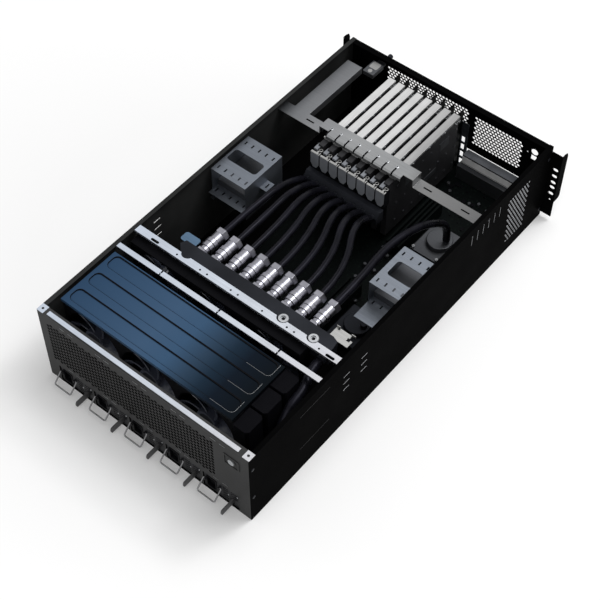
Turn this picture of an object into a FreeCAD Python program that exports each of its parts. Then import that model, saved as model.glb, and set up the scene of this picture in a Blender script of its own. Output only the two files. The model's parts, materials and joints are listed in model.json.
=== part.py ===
import FreeCAD, Part
import math
import os
import re
import Sketcher

# 4U rack server with liquid-cooled accelerator cards.
# Frame: origin at the centre of the bottom, -Y power supply end, +Y rack ear end, +Z up.
# Every length is in millimetres.

DIMS = {
    "body_width": 439.0,
    "body_depth": 811.8,
    "body_height": 177.0,
    "sheet": 1.2,
    "flange_width": 8.0,
    "rail_depth": 15.0,
    "cage_top": 44.5,
    "cage_reach": 234.0,
    "cage_margin": 22.75,
    "supply_gap": 5.2,
    "supply_height": 40.0,
    "supply_length": 185.0,
    "supply_floor": 2.0,
    "supply_recess": 2.0,
    "bail_wire": 2.6,
    "bail_width": 36.0,
    "fan_setback": 43.9,
    "fan_rows_apart": 156.5,
    "fan_depth": 25.0,
    "fan_side_gap": 11.5,
    "fan_headroom": 12.5,
    "duct_wall": 2.0,
    "hub_radius": 20.0,
    "tank_side_gap": 67.5,
    "radiator_depth": 95.5,
    "cover_drop": 5.0,
    "cover_thick": 3.5,
    "block_setback": 225.9,
    "block_depth": 31.0,
    "block_thick": 32.0,
    "coupling_first": -106.5,
    "coupling_pitch": 29.5,
    "coupling_drop": 22.0,
    "card_first": -101.1,
    "card_pitch": 20.32,
    "card_setback": 242.9,
    "strip_drop": 9.0,
    "port_gap": 18.0,
    "port_depth": 19.0,
    "port_height": 24.0,
    "port_drop": 57.0,
    "bar_setback": 218.4,
    "bar_depth": 25.0,
    "shelf_drop": 17.0,
    "bridge_drop": 12.0,
    "board_top": 7.6,
    "ear_width": 21.8,
    "ear_low": 9.0,
    "ear_drop": 12.0,
    "ear_hole_out": 13.05,
    "rack_unit": 44.45,
}

# Sizes that follow from the ones above
FORMULAS = {
    "supply_pitch": "(body_width - 2 * cage_margin) / 5",
    "supply_width": "supply_pitch - supply_gap",
    "fan_pitch": "(body_width - fan_side_gap - tank_side_gap) / 3",
    "fan_high": "body_height - cage_top - fan_headroom",
    "fan_middle": "(fan_side_gap - tank_side_gap) / 2",
    "duct_radius": "min(fan_pitch; fan_high) / 2 - duct_wall",
    "near_fan": "fan_setback - body_depth / 2",
    "rear_fan": "near_fan + fan_rows_apart",
    "core_left": "fan_side_gap - body_width / 2",
    "core_right": "body_width / 2 - tank_side_gap",
    "core_near": "near_fan + fan_depth + 0.5",
    "core_far": "core_near + radiator_depth",
    "cover_near": "near_fan - 3",
    "cover_top": "body_height - cover_drop",
    "block_near": "block_setback - body_depth / 2",
    "block_far": "block_near + block_depth",
    "block_top": "cover_top",
    "block_low": "block_top - block_thick",
    "coupling_axis": "body_height - coupling_drop",
    "card_start": "body_depth / 2 - card_setback",
    "strip_top": "body_height - strip_drop",
    "port_far": "card_start - port_gap",
    "port_near": "port_far - port_depth",
    "port_top": "body_height - port_drop",
    "port_low": "port_top - port_height",
    "bar_near": "body_depth / 2 - bar_setback",
    "bar_far": "bar_near + bar_depth",
    "shelf_top": "body_height - shelf_drop",
    "bridge_top": "body_height - bridge_drop",
    "ear_high": "body_height - ear_drop",
    "ear_hole": "body_width / 2 + ear_hole_out",
}

SUPPLIES = 5
FANS_PER_ROW = 3
COUPLINGS = 9
CARDS = 8
BLADES = 7

doc = FreeCAD.newDocument("gpu_server")
sheet = doc.addObject("Spreadsheet::Sheet", "dims")
for row, (alias, number) in enumerate(DIMS.items(), start=1):
    sheet.set(f"A{row}", alias)
    sheet.set(f"B{row}", str(number))
    sheet.setAlias(f"B{row}", alias)
for row, (alias, rule) in enumerate(FORMULAS.items(), start=len(DIMS) + 2):
    sheet.set(f"A{row}", alias)
    sheet.set(f"B{row}", f"={rule}")
    sheet.setAlias(f"B{row}", alias)
doc.recompute()

NODES = []


def link(text):
    """Text of an expression in which each driving dimension points at the sheet."""
    def swap(found):
        word = found.group(0)
        return f"dims.{word}" if word in DIMS or word in FORMULAS else word
    return re.sub(r"[a-z][a-z_]*", swap, str(text))


def bind(made, prop, text):
    made.setExpression(prop, link(text))


def place(made, x, y, z):
    """Put an object at a point whose coordinates are expressions."""
    for axis, text in zip("xyz", (x, y, z)):
        bind(made, f"Placement.Base.{axis}", text)
    return made


def box(name, x, y, z):
    """A block between two expressions on each axis."""
    made = doc.addObject("Part::Box", name)
    for prop, (low, high) in zip(("Length", "Width", "Height"), (x, y, z)):
        bind(made, prop, f"({high}) - ({low})")
    return place(made, x[0], y[0], z[0])


TURNS = {
    "x": FreeCAD.Rotation(FreeCAD.Vector(0, 1, 0), 90),
    "y": FreeCAD.Rotation(FreeCAD.Vector(1, 0, 0), -90),
    "z": FreeCAD.Rotation(),
}


def rod(name, radius, length, x, y, z, axis):
    """A cylinder that starts at a point and runs along one axis."""
    made = doc.addObject("Part::Cylinder", name)
    made.Placement = FreeCAD.Placement(FreeCAD.Vector(), TURNS[axis])
    bind(made, "Radius", radius)
    bind(made, "Height", length)
    return place(made, x, y, z)


def hexagon(name, across, length, x, y, z):
    """A six-sided bar along Y, given by its width across the flats."""
    made = doc.addObject("Part::Prism", name)
    made.Polygon = 6
    made.Placement = FreeCAD.Placement(FreeCAD.Vector(), TURNS["y"])
    bind(made, "Circumradius", f"({across}) / sqrt(3)")
    bind(made, "Height", length)
    return place(made, x, y, z)


def cut(name, base, tools):
    """The base with each of the tools taken away."""
    tool = tools[0] if len(tools) == 1 else fuse(f"{name}_tools", tools)
    made = doc.addObject("Part::Cut", name)
    made.Base = base
    made.Tool = tool
    return made


def fuse(name, pieces):
    made = doc.addObject("Part::MultiFuse", name)
    made.Shapes = pieces
    return made


def group(name, pieces):
    """Like pieces that stay apart, kept under one name."""
    made = doc.addObject("Part::Compound", name)
    made.Links = pieces
    return made


def coded(name, shape, base=(0, 0, 0)):
    """A shape worked out in code, for forms the other features don't make."""
    made = doc.addObject("Part::Feature", name)
    made.Shape = shape
    made.Placement = FreeCAD.Placement(FreeCAD.Vector(*base), FreeCAD.Rotation())
    return made


def node(name, made):
    """Give the finished piece its own name and list it for export."""
    made.Label = name
    NODES.append(made)
    return made


def profile(name, plane, corners, length, x, y, z):
    """A body padded from a closed outline; each corner is a pair of expressions.

    An outline on the XY plane grows along +Z, on XZ along +Y and on YZ along +X.
    """
    body = doc.addObject("PartDesign::Body", name)
    sketch = body.newObject("Sketcher::SketchObject", f"{name}_outline")
    origin = next(item for item in body.Origin.OriginFeatures if item.Role == f"{plane}_Plane")
    sketch.AttachmentSupport = (origin, [""])
    sketch.MapMode = "FlatFace"
    points = [tuple(measure(text) for text in corner) for corner in corners]
    for index, (start, end) in enumerate(zip(points, points[1:] + points[:1])):
        line = Part.LineSegment(FreeCAD.Vector(*start, 0), FreeCAD.Vector(*end, 0))
        sketch.addGeometry(line)
    for index in range(len(points)):
        sketch.addConstraint(
            Sketcher.Constraint("Coincident", index, 2, (index + 1) % len(points), 1))
    for index, corner in enumerate(corners):
        for kind, text, number in zip(("DistanceX", "DistanceY"), corner, points[index]):
            if number == 0:
                on_axis = Sketcher.Constraint("PointOnObject", index, 1, -2 if kind == "DistanceX" else -1)
                sketch.addConstraint(on_axis)
                continue
            rule = sketch.addConstraint(Sketcher.Constraint(kind, -1, 1, index, 1, number))
            bind(sketch, f"Constraints[{rule}]", text)
    pad = body.newObject("PartDesign::Pad", f"{name}_pad")
    pad.Profile = sketch
    pad.Reversed = plane == "XZ"
    bind(pad, "Length", length)
    body.Tip = pad
    return place(body, x, y, z)


PROBE = doc.addObject("Part::Box", "probe")


def measure(text):
    """The number that an expression of the driving dimensions stands for."""
    if isinstance(text, (int, float)):
        return float(text)
    return float(PROBE.evalExpression(link(text)))


def hexagon_field(name, wide, high, pitch, across, depth, centre, facing="y"):
    """Staggered rows of six-sided holes over a rectangle, as one cutting tool."""
    rise = pitch * math.sqrt(3) / 2
    rows = int((high - across) / rise) + 1
    outline_radius = across / math.sqrt(3)
    holes = []
    for row in range(rows):
        shift = pitch / 2 * (row % 2)
        columns = int((wide - across - shift) / pitch) + 1
        run = (int((wide - across) / pitch)) * pitch
        for column in range(columns):
            u = column * pitch + shift - run / 2
            w = (row - (rows - 1) / 2) * rise
            ring = []
            for corner in range(7):
                angle = math.radians(60 * corner + 30)
                u_here = u + outline_radius * math.cos(angle)
                w_here = w + outline_radius * math.sin(angle)
                spot = (u_here, 0, w_here) if facing == "y" else (0, u_here, w_here)
                ring.append(FreeCAD.Vector(*spot))
            face = Part.Face(Part.makePolygon(ring))
            along = FreeCAD.Vector(0, depth, 0) if facing == "y" else FreeCAD.Vector(depth, 0, 0)
            holes.append(face.extrude(along))
    return coded(name, Part.makeCompound(holes), centre)


def slot_tool(name, wide, long, deep, x, y, z, lay):
    """A round-ended slot tool centred on a point; lay names its long and deep axes."""
    long_axis, deep_axis = lay
    spans = {}
    centre = dict(zip("xyz", (x, y, z)))
    for axis in "xyz":
        size = {long_axis: f"({long}) - ({wide})", deep_axis: deep}.get(axis, wide)
        spans[axis] = (f"({centre[axis]}) - ({size}) / 2", f"({centre[axis]}) + ({size}) / 2")
    middle = box(f"{name}_mid", spans["x"], spans["y"], spans["z"])
    ends = []
    for side, sign in (("low", "-"), ("high", "+")):
        spot = dict(centre)
        spot[long_axis] = f"({centre[long_axis]}) {sign} (({long}) - ({wide})) / 2"
        spot[deep_axis] = f"({centre[deep_axis]}) - ({deep}) / 2"
        ends.append(rod(f"{name}_{side}", f"({wide}) / 2", deep,
                        spot["x"], spot["y"], spot["z"], deep_axis))
    return fuse(name, [middle] + ends)


def rounded_tool(name, x, y, z, corner, axis="z"):
    """A block whose edges along one axis are rounded, for windows and pockets."""
    block = box(f"{name}_block", x, y, z)
    block.recompute()
    along = FreeCAD.Vector(*[1 if letter == axis else 0 for letter in "xyz"])
    made = doc.addObject("Part::Fillet", name)
    made.Base = block
    made.Edges = [(number, corner, corner) for number, edge in enumerate(block.Shape.Edges, start=1)
                  if abs(edge.tangentAt(edge.FirstParameter).dot(along)) > 0.99]
    return made


HALF = "body_width / 2"
INNER = "body_width / 2 - sheet"
NEAR = "-body_depth / 2"
FAR = "body_depth / 2"
LID = "body_height - sheet"

# Base pan
node("base_pan", box("base_pan", (f"-({INNER})", INNER), (NEAR, FAR), (0, "sheet")))

# Side walls: a sheet bent inward along the top
MESH_NEAR, MESH_FAR = measure(f"{FAR} - 129.9"), measure(f"{FAR} - 64.9")
MESH_LOW, MESH_HIGH = 30.0, measure("body_height - 29")
SIDE_PITCH, SIDE_HOLE = 12.0, 9.0
LOUVRE_WIDE, LOUVRE_LONG = 2.5, 17.0


def wall_outline(side):
    """Section of one side wall, with side +1 for the right one."""
    return [
        (f"{side} * ({INNER})", 0),
        (f"{side} * ({HALF})", 0),
        (f"{side} * ({HALF})", "body_height"),
        (f"{side} * ({HALF} - flange_width)", "body_height"),
        (f"{side} * ({HALF} - flange_width)", LID),
        (f"{side} * ({INNER})", LID),
    ]


def corner_notch(name, side):
    """Room for the bright corner tab at the power supply end."""
    reach = sorted((f"{side} * ({HALF} - flange_width - 1)", f"{side} * ({HALF} + 1)"), key=measure)
    return box(name, reach, (f"{NEAR} - 1", f"{NEAR} + rail_depth"), (LID, "body_height + 1"))


left_raw = profile("left_wall_raw", "XZ", wall_outline(-1), "body_depth", 0, NEAR, 0)
left_tools = [corner_notch("left_notch", -1)]
for row, drop in enumerate((34, 52, 70)):
    left_tools.append(slot_tool(f"left_slot_{row}", LOUVRE_WIDE, LOUVRE_LONG, 8, f"-({HALF})",
                                f"{NEAR} + 273.9", f"body_height - {drop}", "yx"))
node("left_side_wall", cut("left_side_wall", left_raw, left_tools))

right_raw = profile("right_wall_raw", "XZ", wall_outline(1), "body_depth", 0, NEAR, 0)
right_tools = [corner_notch("right_notch", 1)]
for column, (y, drop) in enumerate(((232.9, 42), (277.9, 40))):
    for row in range(3):
        right_tools.append(slot_tool(f"right_slot_{column}_{row}", LOUVRE_WIDE, LOUVRE_LONG, 8, HALF,
                                     f"{NEAR} + {y}", f"body_height - {drop + 18 * row}", "yx"))
UPRIGHT_SLOTS, UPRIGHT_STEP = 6, 16.5
for column in range(UPRIGHT_SLOTS):
    right_tools.append(slot_tool(f"upright_slot_{column}", 2, 26, 8, HALF,
                                 f"{FAR} - {240.9 - UPRIGHT_STEP * column}", "body_height - 30", "zx"))
right_tools.append(hexagon_field(
    "side_holes", MESH_FAR - MESH_NEAR, MESH_HIGH - MESH_LOW, SIDE_PITCH, SIDE_HOLE, 8.0,
    (measure(HALF) - 4, (MESH_NEAR + MESH_FAR) / 2, (MESH_LOW + MESH_HIGH) / 2), "x"))
node("right_side_wall", cut("right_side_wall", right_raw, right_tools))

# Power-supply-end panel: vent field, slot pairs, button bezel
GRILLE_LEFT, GRILLE_RIGHT = measure("core_left + 2"), measure("core_right - 0.5")
GRILLE_LOW, GRILLE_HIGH = measure("cage_top + 12.5"), measure("body_height - 18")
GRILLE_PITCH, GRILLE_HOLE = 12.0, 9.5
BUTTON_X, BUTTON_Z = measure(f"{HALF} - 35"), measure("body_height - 38.5")
BEZEL_WIDE, BEZEL_HIGH = 31.0, 26.0
BUTTON_RADIUS = 6.0

panel_outline = [
    (0, "cage_top"), ("sheet", "cage_top"), ("sheet", "body_height - 2 * sheet"),
    ("rail_depth", "body_height - 2 * sheet"), ("rail_depth", LID), (0, LID),
]
panel_raw = profile("panel_raw", "YZ", panel_outline, f"2 * ({INNER})", f"-({INNER})", NEAR, 0)
panel_tools = [hexagon_field(
    "grille_holes", GRILLE_RIGHT - GRILLE_LEFT, GRILLE_HIGH - GRILLE_LOW, GRILLE_PITCH,
    GRILLE_HOLE, 6.0,
    ((GRILLE_LEFT + GRILLE_RIGHT) / 2, measure(NEAR) - 2.4, (GRILLE_LOW + GRILLE_HIGH) / 2))]
for row, z in enumerate(("cage_top + 6", "body_height - 11.5")):
    for pair in range(SUPPLIES):
        for side in (-1, 1):
            x = f"{pair - SUPPLIES // 2} * supply_pitch + {side * 9}"
            name = f"panel_slot_{row}_{pair}_{side + 1}"
            panel_tools.append(box(name, (f"{x} - 6", f"{x} + 6"), (f"{NEAR} - 1", f"{NEAR} + 3"),
                                   (f"{z} - 1.2", f"{z} + 1.2")))
panel_cut = cut("panel_cut", panel_raw, panel_tools)
bezel = box("bezel_raw", (BUTTON_X - BEZEL_WIDE / 2, BUTTON_X + BEZEL_WIDE / 2),
            (f"{NEAR} - 1.5", NEAR), (BUTTON_Z - BEZEL_HIGH / 2, BUTTON_Z + BEZEL_HIGH / 2))
bezel_dish = box("bezel_dish", (BUTTON_X - BEZEL_WIDE / 2 + 2, BUTTON_X + BEZEL_WIDE / 2 - 2),
                 (f"{NEAR} - 2", f"{NEAR} - 0.5"),
                 (BUTTON_Z - BEZEL_HIGH / 2 + 2, BUTTON_Z + BEZEL_HIGH / 2 - 2))
barrel = rod("button_barrel", BUTTON_RADIUS + 1.8, "8", BUTTON_X, NEAR, BUTTON_Z, "y")
panel_full = fuse("panel_full", [panel_cut, cut("bezel", bezel, [bezel_dish]), barrel])
button_bore = rod("button_bore", BUTTON_RADIUS + 0.3, "8", BUTTON_X, f"{NEAR} - 2", BUTTON_Z, "y")
node("psu_end_panel", cut("psu_end_panel", panel_full, [button_bore]))

button_cap = rod("button_cap", BUTTON_RADIUS, "3.5", BUTTON_X, f"{NEAR} - 2.5", BUTTON_Z, "y")
button_stem = rod("button_stem", "2", "2.7", BUTTON_X, f"{NEAR} + 1", BUTTON_Z, "y")
node("power_button", fuse("power_button", [button_cap, button_stem]))

# Power supply cage: floor, dividers, blanks at both ends and the deck that carries the fans
CAGE_FAR = "cage_reach - body_depth / 2"
cage = [
    box("cage_floor", (f"-({INNER})", INNER), (NEAR, CAGE_FAR), ("sheet", "supply_floor")),
    box("cage_deck", (f"-({INNER})", INNER), (NEAR, CAGE_FAR), ("cage_top - sheet", "cage_top")),
]
for index in range(SUPPLIES + 1):
    middle = f"({index} - {SUPPLIES} / 2) * supply_pitch"
    cage.append(box(f"divider_{index}", (f"{middle} - 2.3", f"{middle} + 2.3"), (NEAR, CAGE_FAR),
                    ("supply_floor", "cage_top - sheet")))
for index, side in enumerate((-1, 1)):
    reach = sorted((f"{side} * ({INNER})", f"{side} * {SUPPLIES} / 2 * supply_pitch"), key=measure)
    cage.append(box(f"cage_blank_{index}", reach, (NEAR, f"{NEAR} + sheet"),
                    ("supply_floor", "cage_top - sheet")))
node("psu_cage", fuse("psu_cage", cage))

# Power supply modules, each with a wire bail and a latch tab
FACE = "supply_recess - body_depth / 2"
BAIL_X, BAIL_Z = -17.3, 29.0
BAIL_OUT, BAIL_DROP = 17.5, 18.0
LATCH_X, LATCH_LOW, LATCH_HIGH = 22.0, 5.3, 18.7
INLET_X, INLET_Z, INLET_WIDE, INLET_HIGH, INLET_DEEP = -21.0, 22.5, 18.0, 27.0, 20.0
FRONT_BLOCK = 25.0


def tube_along(points, bends, radius):
    """A round bar along straight runs joined by arcs; returns the solid and its route wire."""
    corners = [FreeCAD.Vector(*point) for point in points]
    edges = []
    here = corners[0]
    for index in range(1, len(corners) - 1):
        corner = corners[index]
        back = (corners[index - 1] - corner).normalize()
        ahead = (corners[index + 1] - corner).normalize()
        half_turn = (math.pi - back.getAngle(ahead)) / 2
        reach = bends[index - 1] * math.tan(half_turn)
        start = corner + back * reach
        end = corner + ahead * reach
        inward = (back + ahead).normalize()
        middle = corner + inward * (bends[index - 1] / math.cos(half_turn) - bends[index - 1])
        edges.append(Part.makeLine(here, start))
        edges.append(Part.Arc(start, middle, end).toShape())
        here = end
    edges.append(Part.makeLine(here, corners[-1]))
    route = Part.Wire(edges)
    ring = Part.Wire(Part.makeCircle(radius, corners[0], corners[1] - corners[0]))
    shell = route.makePipeShell([ring], True, False)
    return shell, route


def bail_shape():
    """One bail: pin ends turned inward, two legs and a grip bar."""
    half = measure("bail_width / 2")
    front = measure(FACE) - 2.5
    points = [(-half + 4.5, 0, 0), (-half, 0, 0), (-half, -BAIL_OUT, -BAIL_DROP),
              (half, -BAIL_OUT, -BAIL_DROP), (half, 0, 0), (half - 4.5, 0, 0)]
    solid, _ = tube_along(points, [1.8, 4.0, 4.0, 1.8], measure("bail_wire / 2"))
    return solid, front


for index in range(SUPPLIES):
    tag = f"psu_{index + 1}"
    middle = f"({index} - {SUPPLIES // 2}) * supply_pitch"
    low, high = "supply_floor", "supply_floor + supply_height"
    case = [box(f"{tag}_body", (f"{middle} - supply_width / 2", f"{middle} + supply_width / 2"),
                (FACE, f"{FACE} + supply_length"), (low, high))]
    for side, sign in (("a", "-"), ("b", "+")):
        lug_middle = f"{middle} + {BAIL_X} {sign} (bail_width / 2 - 4)"
        case.append(box(f"{tag}_lug_{side}", (f"{lug_middle} - 1.3", f"{lug_middle} + 1.3"),
                        (f"{FACE} - 5.3", FACE), (BAIL_Z - 3, BAIL_Z + 3)))
    tools = [
        box(f"{tag}_inlet", (f"{middle} + {INLET_X - INLET_WIDE / 2}", f"{middle} + {INLET_X + INLET_WIDE / 2}"),
            (f"{FACE} - 1", f"{FACE} + {INLET_DEEP}"), (INLET_Z - INLET_HIGH / 2, INLET_Z + INLET_HIGH / 2)),
        box(f"{tag}_latch_slot", (f"{middle} + {LATCH_X - 3}", f"{middle} + {LATCH_X + 3}"),
            (f"{FACE} - 1", f"{FACE} + 12"), (LATCH_LOW - 0.3, LATCH_HIGH + 0.3)),
        rod(f"{tag}_latch_bore", "1.3", "18.6", f"{middle} + {LATCH_X}", f"{FACE} + 4", LATCH_LOW - 2.3, "z"),
        rod(f"{tag}_lug_bore", f"bail_wire / 2 + 0.3", "bail_width", f"{middle} + {BAIL_X} - bail_width / 2",
            f"{FACE} - 2.5", BAIL_Z, "x"),
        box(f"{tag}_hollow", (f"{middle} - supply_width / 2 + 2", f"{middle} + supply_width / 2 - 2"),
            (f"{FACE} + {FRONT_BLOCK}", f"{FACE} + supply_length + 1"), (f"{low} + 2", f"{high} - 2")),
        hexagon_field(f"{tag}_vents", 15.0, 36.0, 7.5, 6.0, 3.0,
                      (measure(middle) + 9.0, measure(FACE) - 1.0, 22.5)),
        hexagon_field(f"{tag}_vents_b", 11.0, 16.0, 7.5, 6.0, 3.0,
                      (measure(middle) + 29.5, measure(FACE) - 1.0, 30.5)),
    ]
    case_cut = cut(f"{tag}_case_cut", fuse(f"{tag}_case_raw", case), tools)
    pins = []
    for pin, (dx, dz) in enumerate(((2.0, 7.0), (2.0, -7.0), (-2.0, 0.0))):
        x = f"{middle} + {INLET_X + dx}"
        pins.append(box(f"{tag}_pin_{pin}", (f"{x} - 1", f"{x} + 1"),
                        (f"{FACE} + 7", f"{FACE} + {INLET_DEEP + 1}"), (INLET_Z + dz - 2, INLET_Z + dz + 2)))
    edge_board = box(f"{tag}_edge_board", (f"{middle} - 30", f"{middle} + 30"),
                     (f"{FACE} + {FRONT_BLOCK - 1}", f"{FACE} + supply_length + 7"), (8, 9.6))
    node(f"{tag}_case", fuse(f"{tag}_case", [case_cut, edge_board] + pins))

    bail, bail_front = bail_shape()
    node(f"{tag}_bail", coded(f"{tag}_bail", bail, (measure(middle) + BAIL_X, bail_front, BAIL_Z)))

    blade = profile(f"{tag}_latch_blade", "YZ",
                    [(11, 0), (-26, 0), (-28, 4), (-28, "9.4"), (-26, "13.4"), (11, "13.4")],
                    "2", f"{middle} + {LATCH_X} - 1", FACE, LATCH_LOW)
    pin = rod(f"{tag}_latch_pin", "1", "18", f"{middle} + {LATCH_X}", f"{FACE} + 4", LATCH_LOW - 2.0, "z")
    ribs = [box(f"{tag}_rib_{rib}", (f"{middle} + {LATCH_X} - 2", f"{middle} + {LATCH_X} - 1"),
                (f"{FACE} - {26 - 4 * rib}", f"{FACE} - {24.5 - 4 * rib}"), (LATCH_LOW + 3, LATCH_HIGH - 3))
            for rib in range(3)]
    node(f"{tag}_latch", fuse(f"{tag}_latch", [blade, pin] + ribs))

# Fans: two rows of square frames, each with a hub plate held by four struts
FAN_CENTRE = "cage_top + fan_high / 2"
STRUT, STRUT_DEEP, FAN_SEAM = 5.0, 3.0, 0.1
fan_spots = []
for row, start in enumerate(("near_fan", "rear_fan")):
    for column in range(FANS_PER_ROW):
        fan_spots.append((f"fan_middle + ({column} - 1) * fan_pitch", start))

frames = []
for index, (x, y) in enumerate(fan_spots):
    tag = f"fan_{index + 1}"
    square = box(f"{tag}_square", (f"{x} - fan_pitch / 2 + {FAN_SEAM}", f"{x} + fan_pitch / 2 - {FAN_SEAM}"),
                 (y, f"{y} + fan_depth"), ("cage_top", "cage_top + fan_high"))
    ring = cut(f"{tag}_ring", square,
               [rod(f"{tag}_duct", "duct_radius", "fan_depth + 2", x, f"{y} - 1", FAN_CENTRE, "y")])
    behind = (f"{y} + fan_depth - {STRUT_DEEP}", f"{y} + fan_depth")
    level = box(f"{tag}_level", (f"{x} - duct_radius - 1", f"{x} + duct_radius + 1"), behind,
                (f"{FAN_CENTRE} - {STRUT / 2}", f"{FAN_CENTRE} + {STRUT / 2}"))
    upright = box(f"{tag}_upright", (f"{x} - {STRUT / 2}", f"{x} + {STRUT / 2}"), behind,
                  (f"{FAN_CENTRE} - duct_radius - 1", f"{FAN_CENTRE} + duct_radius + 1"))
    plate = rod(f"{tag}_plate", "hub_radius + 1", STRUT_DEEP, x, behind[0], FAN_CENTRE, "y")
    whole = fuse(f"{tag}_whole", [ring, level, upright, plate])
    bore = rod(f"{tag}_bore", "3.3", "5", x, f"{y} + fan_depth - 4", FAN_CENTRE, "y")
    frames.append(cut(f"{tag}_frame", whole, [bore]))
node("fan_frames", group("fan_frames", frames))

BLADE_TIP_GAP = 1.5


def blade_section(radius, sweep, pitch_angle, chord, thick):
    """One thin section of a fan blade, square to the radius at its sweep angle."""
    outward = FreeCAD.Vector(math.cos(sweep), 0, math.sin(sweep))
    around = FreeCAD.Vector(-math.sin(sweep), 0, math.cos(sweep))
    along = around * math.cos(pitch_angle) + FreeCAD.Vector(0, 1, 0) * math.sin(pitch_angle)
    normal = outward.cross(along)
    centre = outward * radius
    corners = []
    for side, face in ((-1, -1), (1, -1), (1, 1), (-1, 1)):
        corners.append(centre + along * (side * chord / 2) + normal * (face * thick / 2))
    return Part.makePolygon(corners + corners[:1])


def rotor_shape():
    """Hub, shaft and swept blades, with the shaft along Y and the front of the hub at y = 0."""
    hub = measure("hub_radius")
    tip = measure("duct_radius") - BLADE_TIP_GAP
    span = measure("fan_depth") - 7
    axis = FreeCAD.Vector(0, 1, 0)
    solid = Part.makeCylinder(hub, span, FreeCAD.Vector(), axis)
    dish = Part.makeCylinder(hub - 5, 1, FreeCAD.Vector(), axis)
    solid = solid.cut(dish)
    solid = solid.fuse(Part.makeCylinder(3, 5, FreeCAD.Vector(0, span - 0.5, 0), axis))
    for blade in range(BLADES):
        turn = 2 * math.pi * blade / BLADES
        sections = [
            blade_section(hub - 4, turn, math.radians(52), 15, 2.0),
            blade_section((hub + tip) / 2, turn + math.radians(16), math.radians(40), 21, 1.6),
            blade_section(tip, turn + math.radians(38), math.radians(30), 28, 1.2),
        ]
        loft = Part.makeLoft(sections, True, False)
        loft.translate(FreeCAD.Vector(0, span / 2, 0))
        solid = solid.fuse(loft)
    return solid


for index, (x, y) in enumerate(fan_spots):
    spot = (measure(x), measure(y) + 1.5, measure(FAN_CENTRE))
    node(f"fan_rotor_{index + 1}", coded(f"fan_rotor_{index + 1}", rotor_shape(), spot))

# Radiator: three cores, three end tanks and the hose port
CORE_GAP = 2.0
core_depth = f"(core_far - core_near - 2 * {CORE_GAP}) / 3"
core_top = "cover_top - cover_thick"
radiator = []
for index in range(3):
    start = f"core_near + {index} * ({core_depth} + {CORE_GAP})"
    radiator.append(box(f"core_{index}", ("core_left", "core_right"), (start, f"{start} + {core_depth}"),
                        ("cage_top", core_top)))
radiator.append(box("core_spine", ("core_left", "core_right"), ("core_near + 1", "core_far - 1"),
                    ("cage_top", "cage_top + 3")))
TANKS = ((-3, 37, 17), (40, 82, 15), (85, 124, 13))
TANK_OUT, TANK_CHAMFER = 29.0, 5.0
for index, (near, far, drop) in enumerate(TANKS):
    near_edge, far_edge = f"near_fan + {near}", f"near_fan + {far}"
    face = f"core_right + {TANK_OUT}"
    outline = [("core_right", near_edge), (f"{face} - {TANK_CHAMFER}", near_edge),
               (face, f"{near_edge} + {TANK_CHAMFER}"), (face, f"{far_edge} - {TANK_CHAMFER}"),
               (f"{face} - {TANK_CHAMFER}", far_edge), ("core_right", far_edge)]
    radiator.append(profile(f"tank_{index}", "XY", outline, f"body_height - {drop} - cage_top", 0, 0, "cage_top"))
radiator.append(box("tank_bridge", ("core_right", "core_right + 25"), ("near_fan - 2", "near_fan + 123"),
                    ("cage_top", "cage_top + 20")))
PORT_X, PORT_Y, PORT_TOP = measure(f"{HALF} - 17.5"), measure("near_fan + 40"), measure("cage_top + 15.5")
radiator.append(box("port_block", ("core_right + 20", f"{HALF} - 5.5"), (PORT_Y - 12, PORT_Y + 12),
                    ("cage_top", PORT_TOP - 6)))
radiator.append(rod("port_barb", "8", "8", PORT_X, PORT_Y, PORT_TOP - 8, "z"))
node("radiator", fuse("radiator", radiator))

# Radiator cover: raised lid with three round-cornered channels and turned-down edges
CHANNELS = ((5.0, 33.0), (47.0, 75.0), (90.0, 119.0))
CHANNEL_DEEP, CHANNEL_CORNER, CHANNEL_EDGE = 2.0, 10.0, 7.0
lid = box("lid_plate", ("core_left", "core_right"), ("cover_near", "core_far"), (core_top, "cover_top"))
skirt = box("lid_skirt", ("core_left", "core_right"), ("cover_near", "cover_near + sheet"),
            (f"{core_top} - 3", core_top))
channels = []
for index, (near, far) in enumerate(CHANNELS):
    channels.append(rounded_tool(
        f"channel_{index}", (f"core_left + {CHANNEL_EDGE}", f"core_right - {CHANNEL_EDGE}"),
        (f"near_fan + {near}", f"near_fan + {far}"), (f"cover_top - {CHANNEL_DEEP}", "cover_top + 1"),
        CHANNEL_CORNER))
node("radiator_cover", cut("radiator_cover", fuse("lid_raw", [lid, skirt]), channels))

# Bright top rails: flange with corner tabs, and the first cross bar in four lengths on its web
TOP = (LID, "body_height")
rails = [box("near_flange", (f"19.5 - {HALF}", f"{HALF} - 23"), (f"{NEAR} + 2.4", f"{NEAR} + 10.4"), TOP)]
for index, side in enumerate((-1, 1)):
    reach = sorted((f"{side} * ({HALF})", f"{side} * ({HALF} - 13.5)"), key=measure)
    tab = box(f"tab_{index}_raw", reach, (NEAR, f"{NEAR} + rail_depth"), TOP)
    hole = rod(f"tab_{index}_hole", "2.2", "4", f"{side} * ({HALF} - 7)", f"{NEAR} + 7.5",
               f"{LID} - 1", "z")
    rails.append(cut(f"tab_{index}", tab, [hole]))
BAR_NEAR, BAR_FAR = f"{NEAR} + 172.4", f"{NEAR} + 181.9"
rails.append(box("bar_web", (f"-({INNER})", INNER), (f"{BAR_NEAR} + 4.1", f"{BAR_NEAR} + 5.3"),
                 (f"{LID} - 10", LID)))
JOINTS = ("flange_width - body_width / 2", "-116.9", "5.1", "127.6", "body_width / 2 - flange_width")
for index, (start, end) in enumerate(zip(JOINTS, JOINTS[1:])):
    left = f"{start} + {0 if index == 0 else 1.5}"
    right = f"{end} - {0 if index == 3 else 1.5}"
    rails.append(box(f"bar_length_{index}", (left, right), (BAR_NEAR, BAR_FAR), TOP))
node("top_rails", fuse("top_rails", rails))

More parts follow.
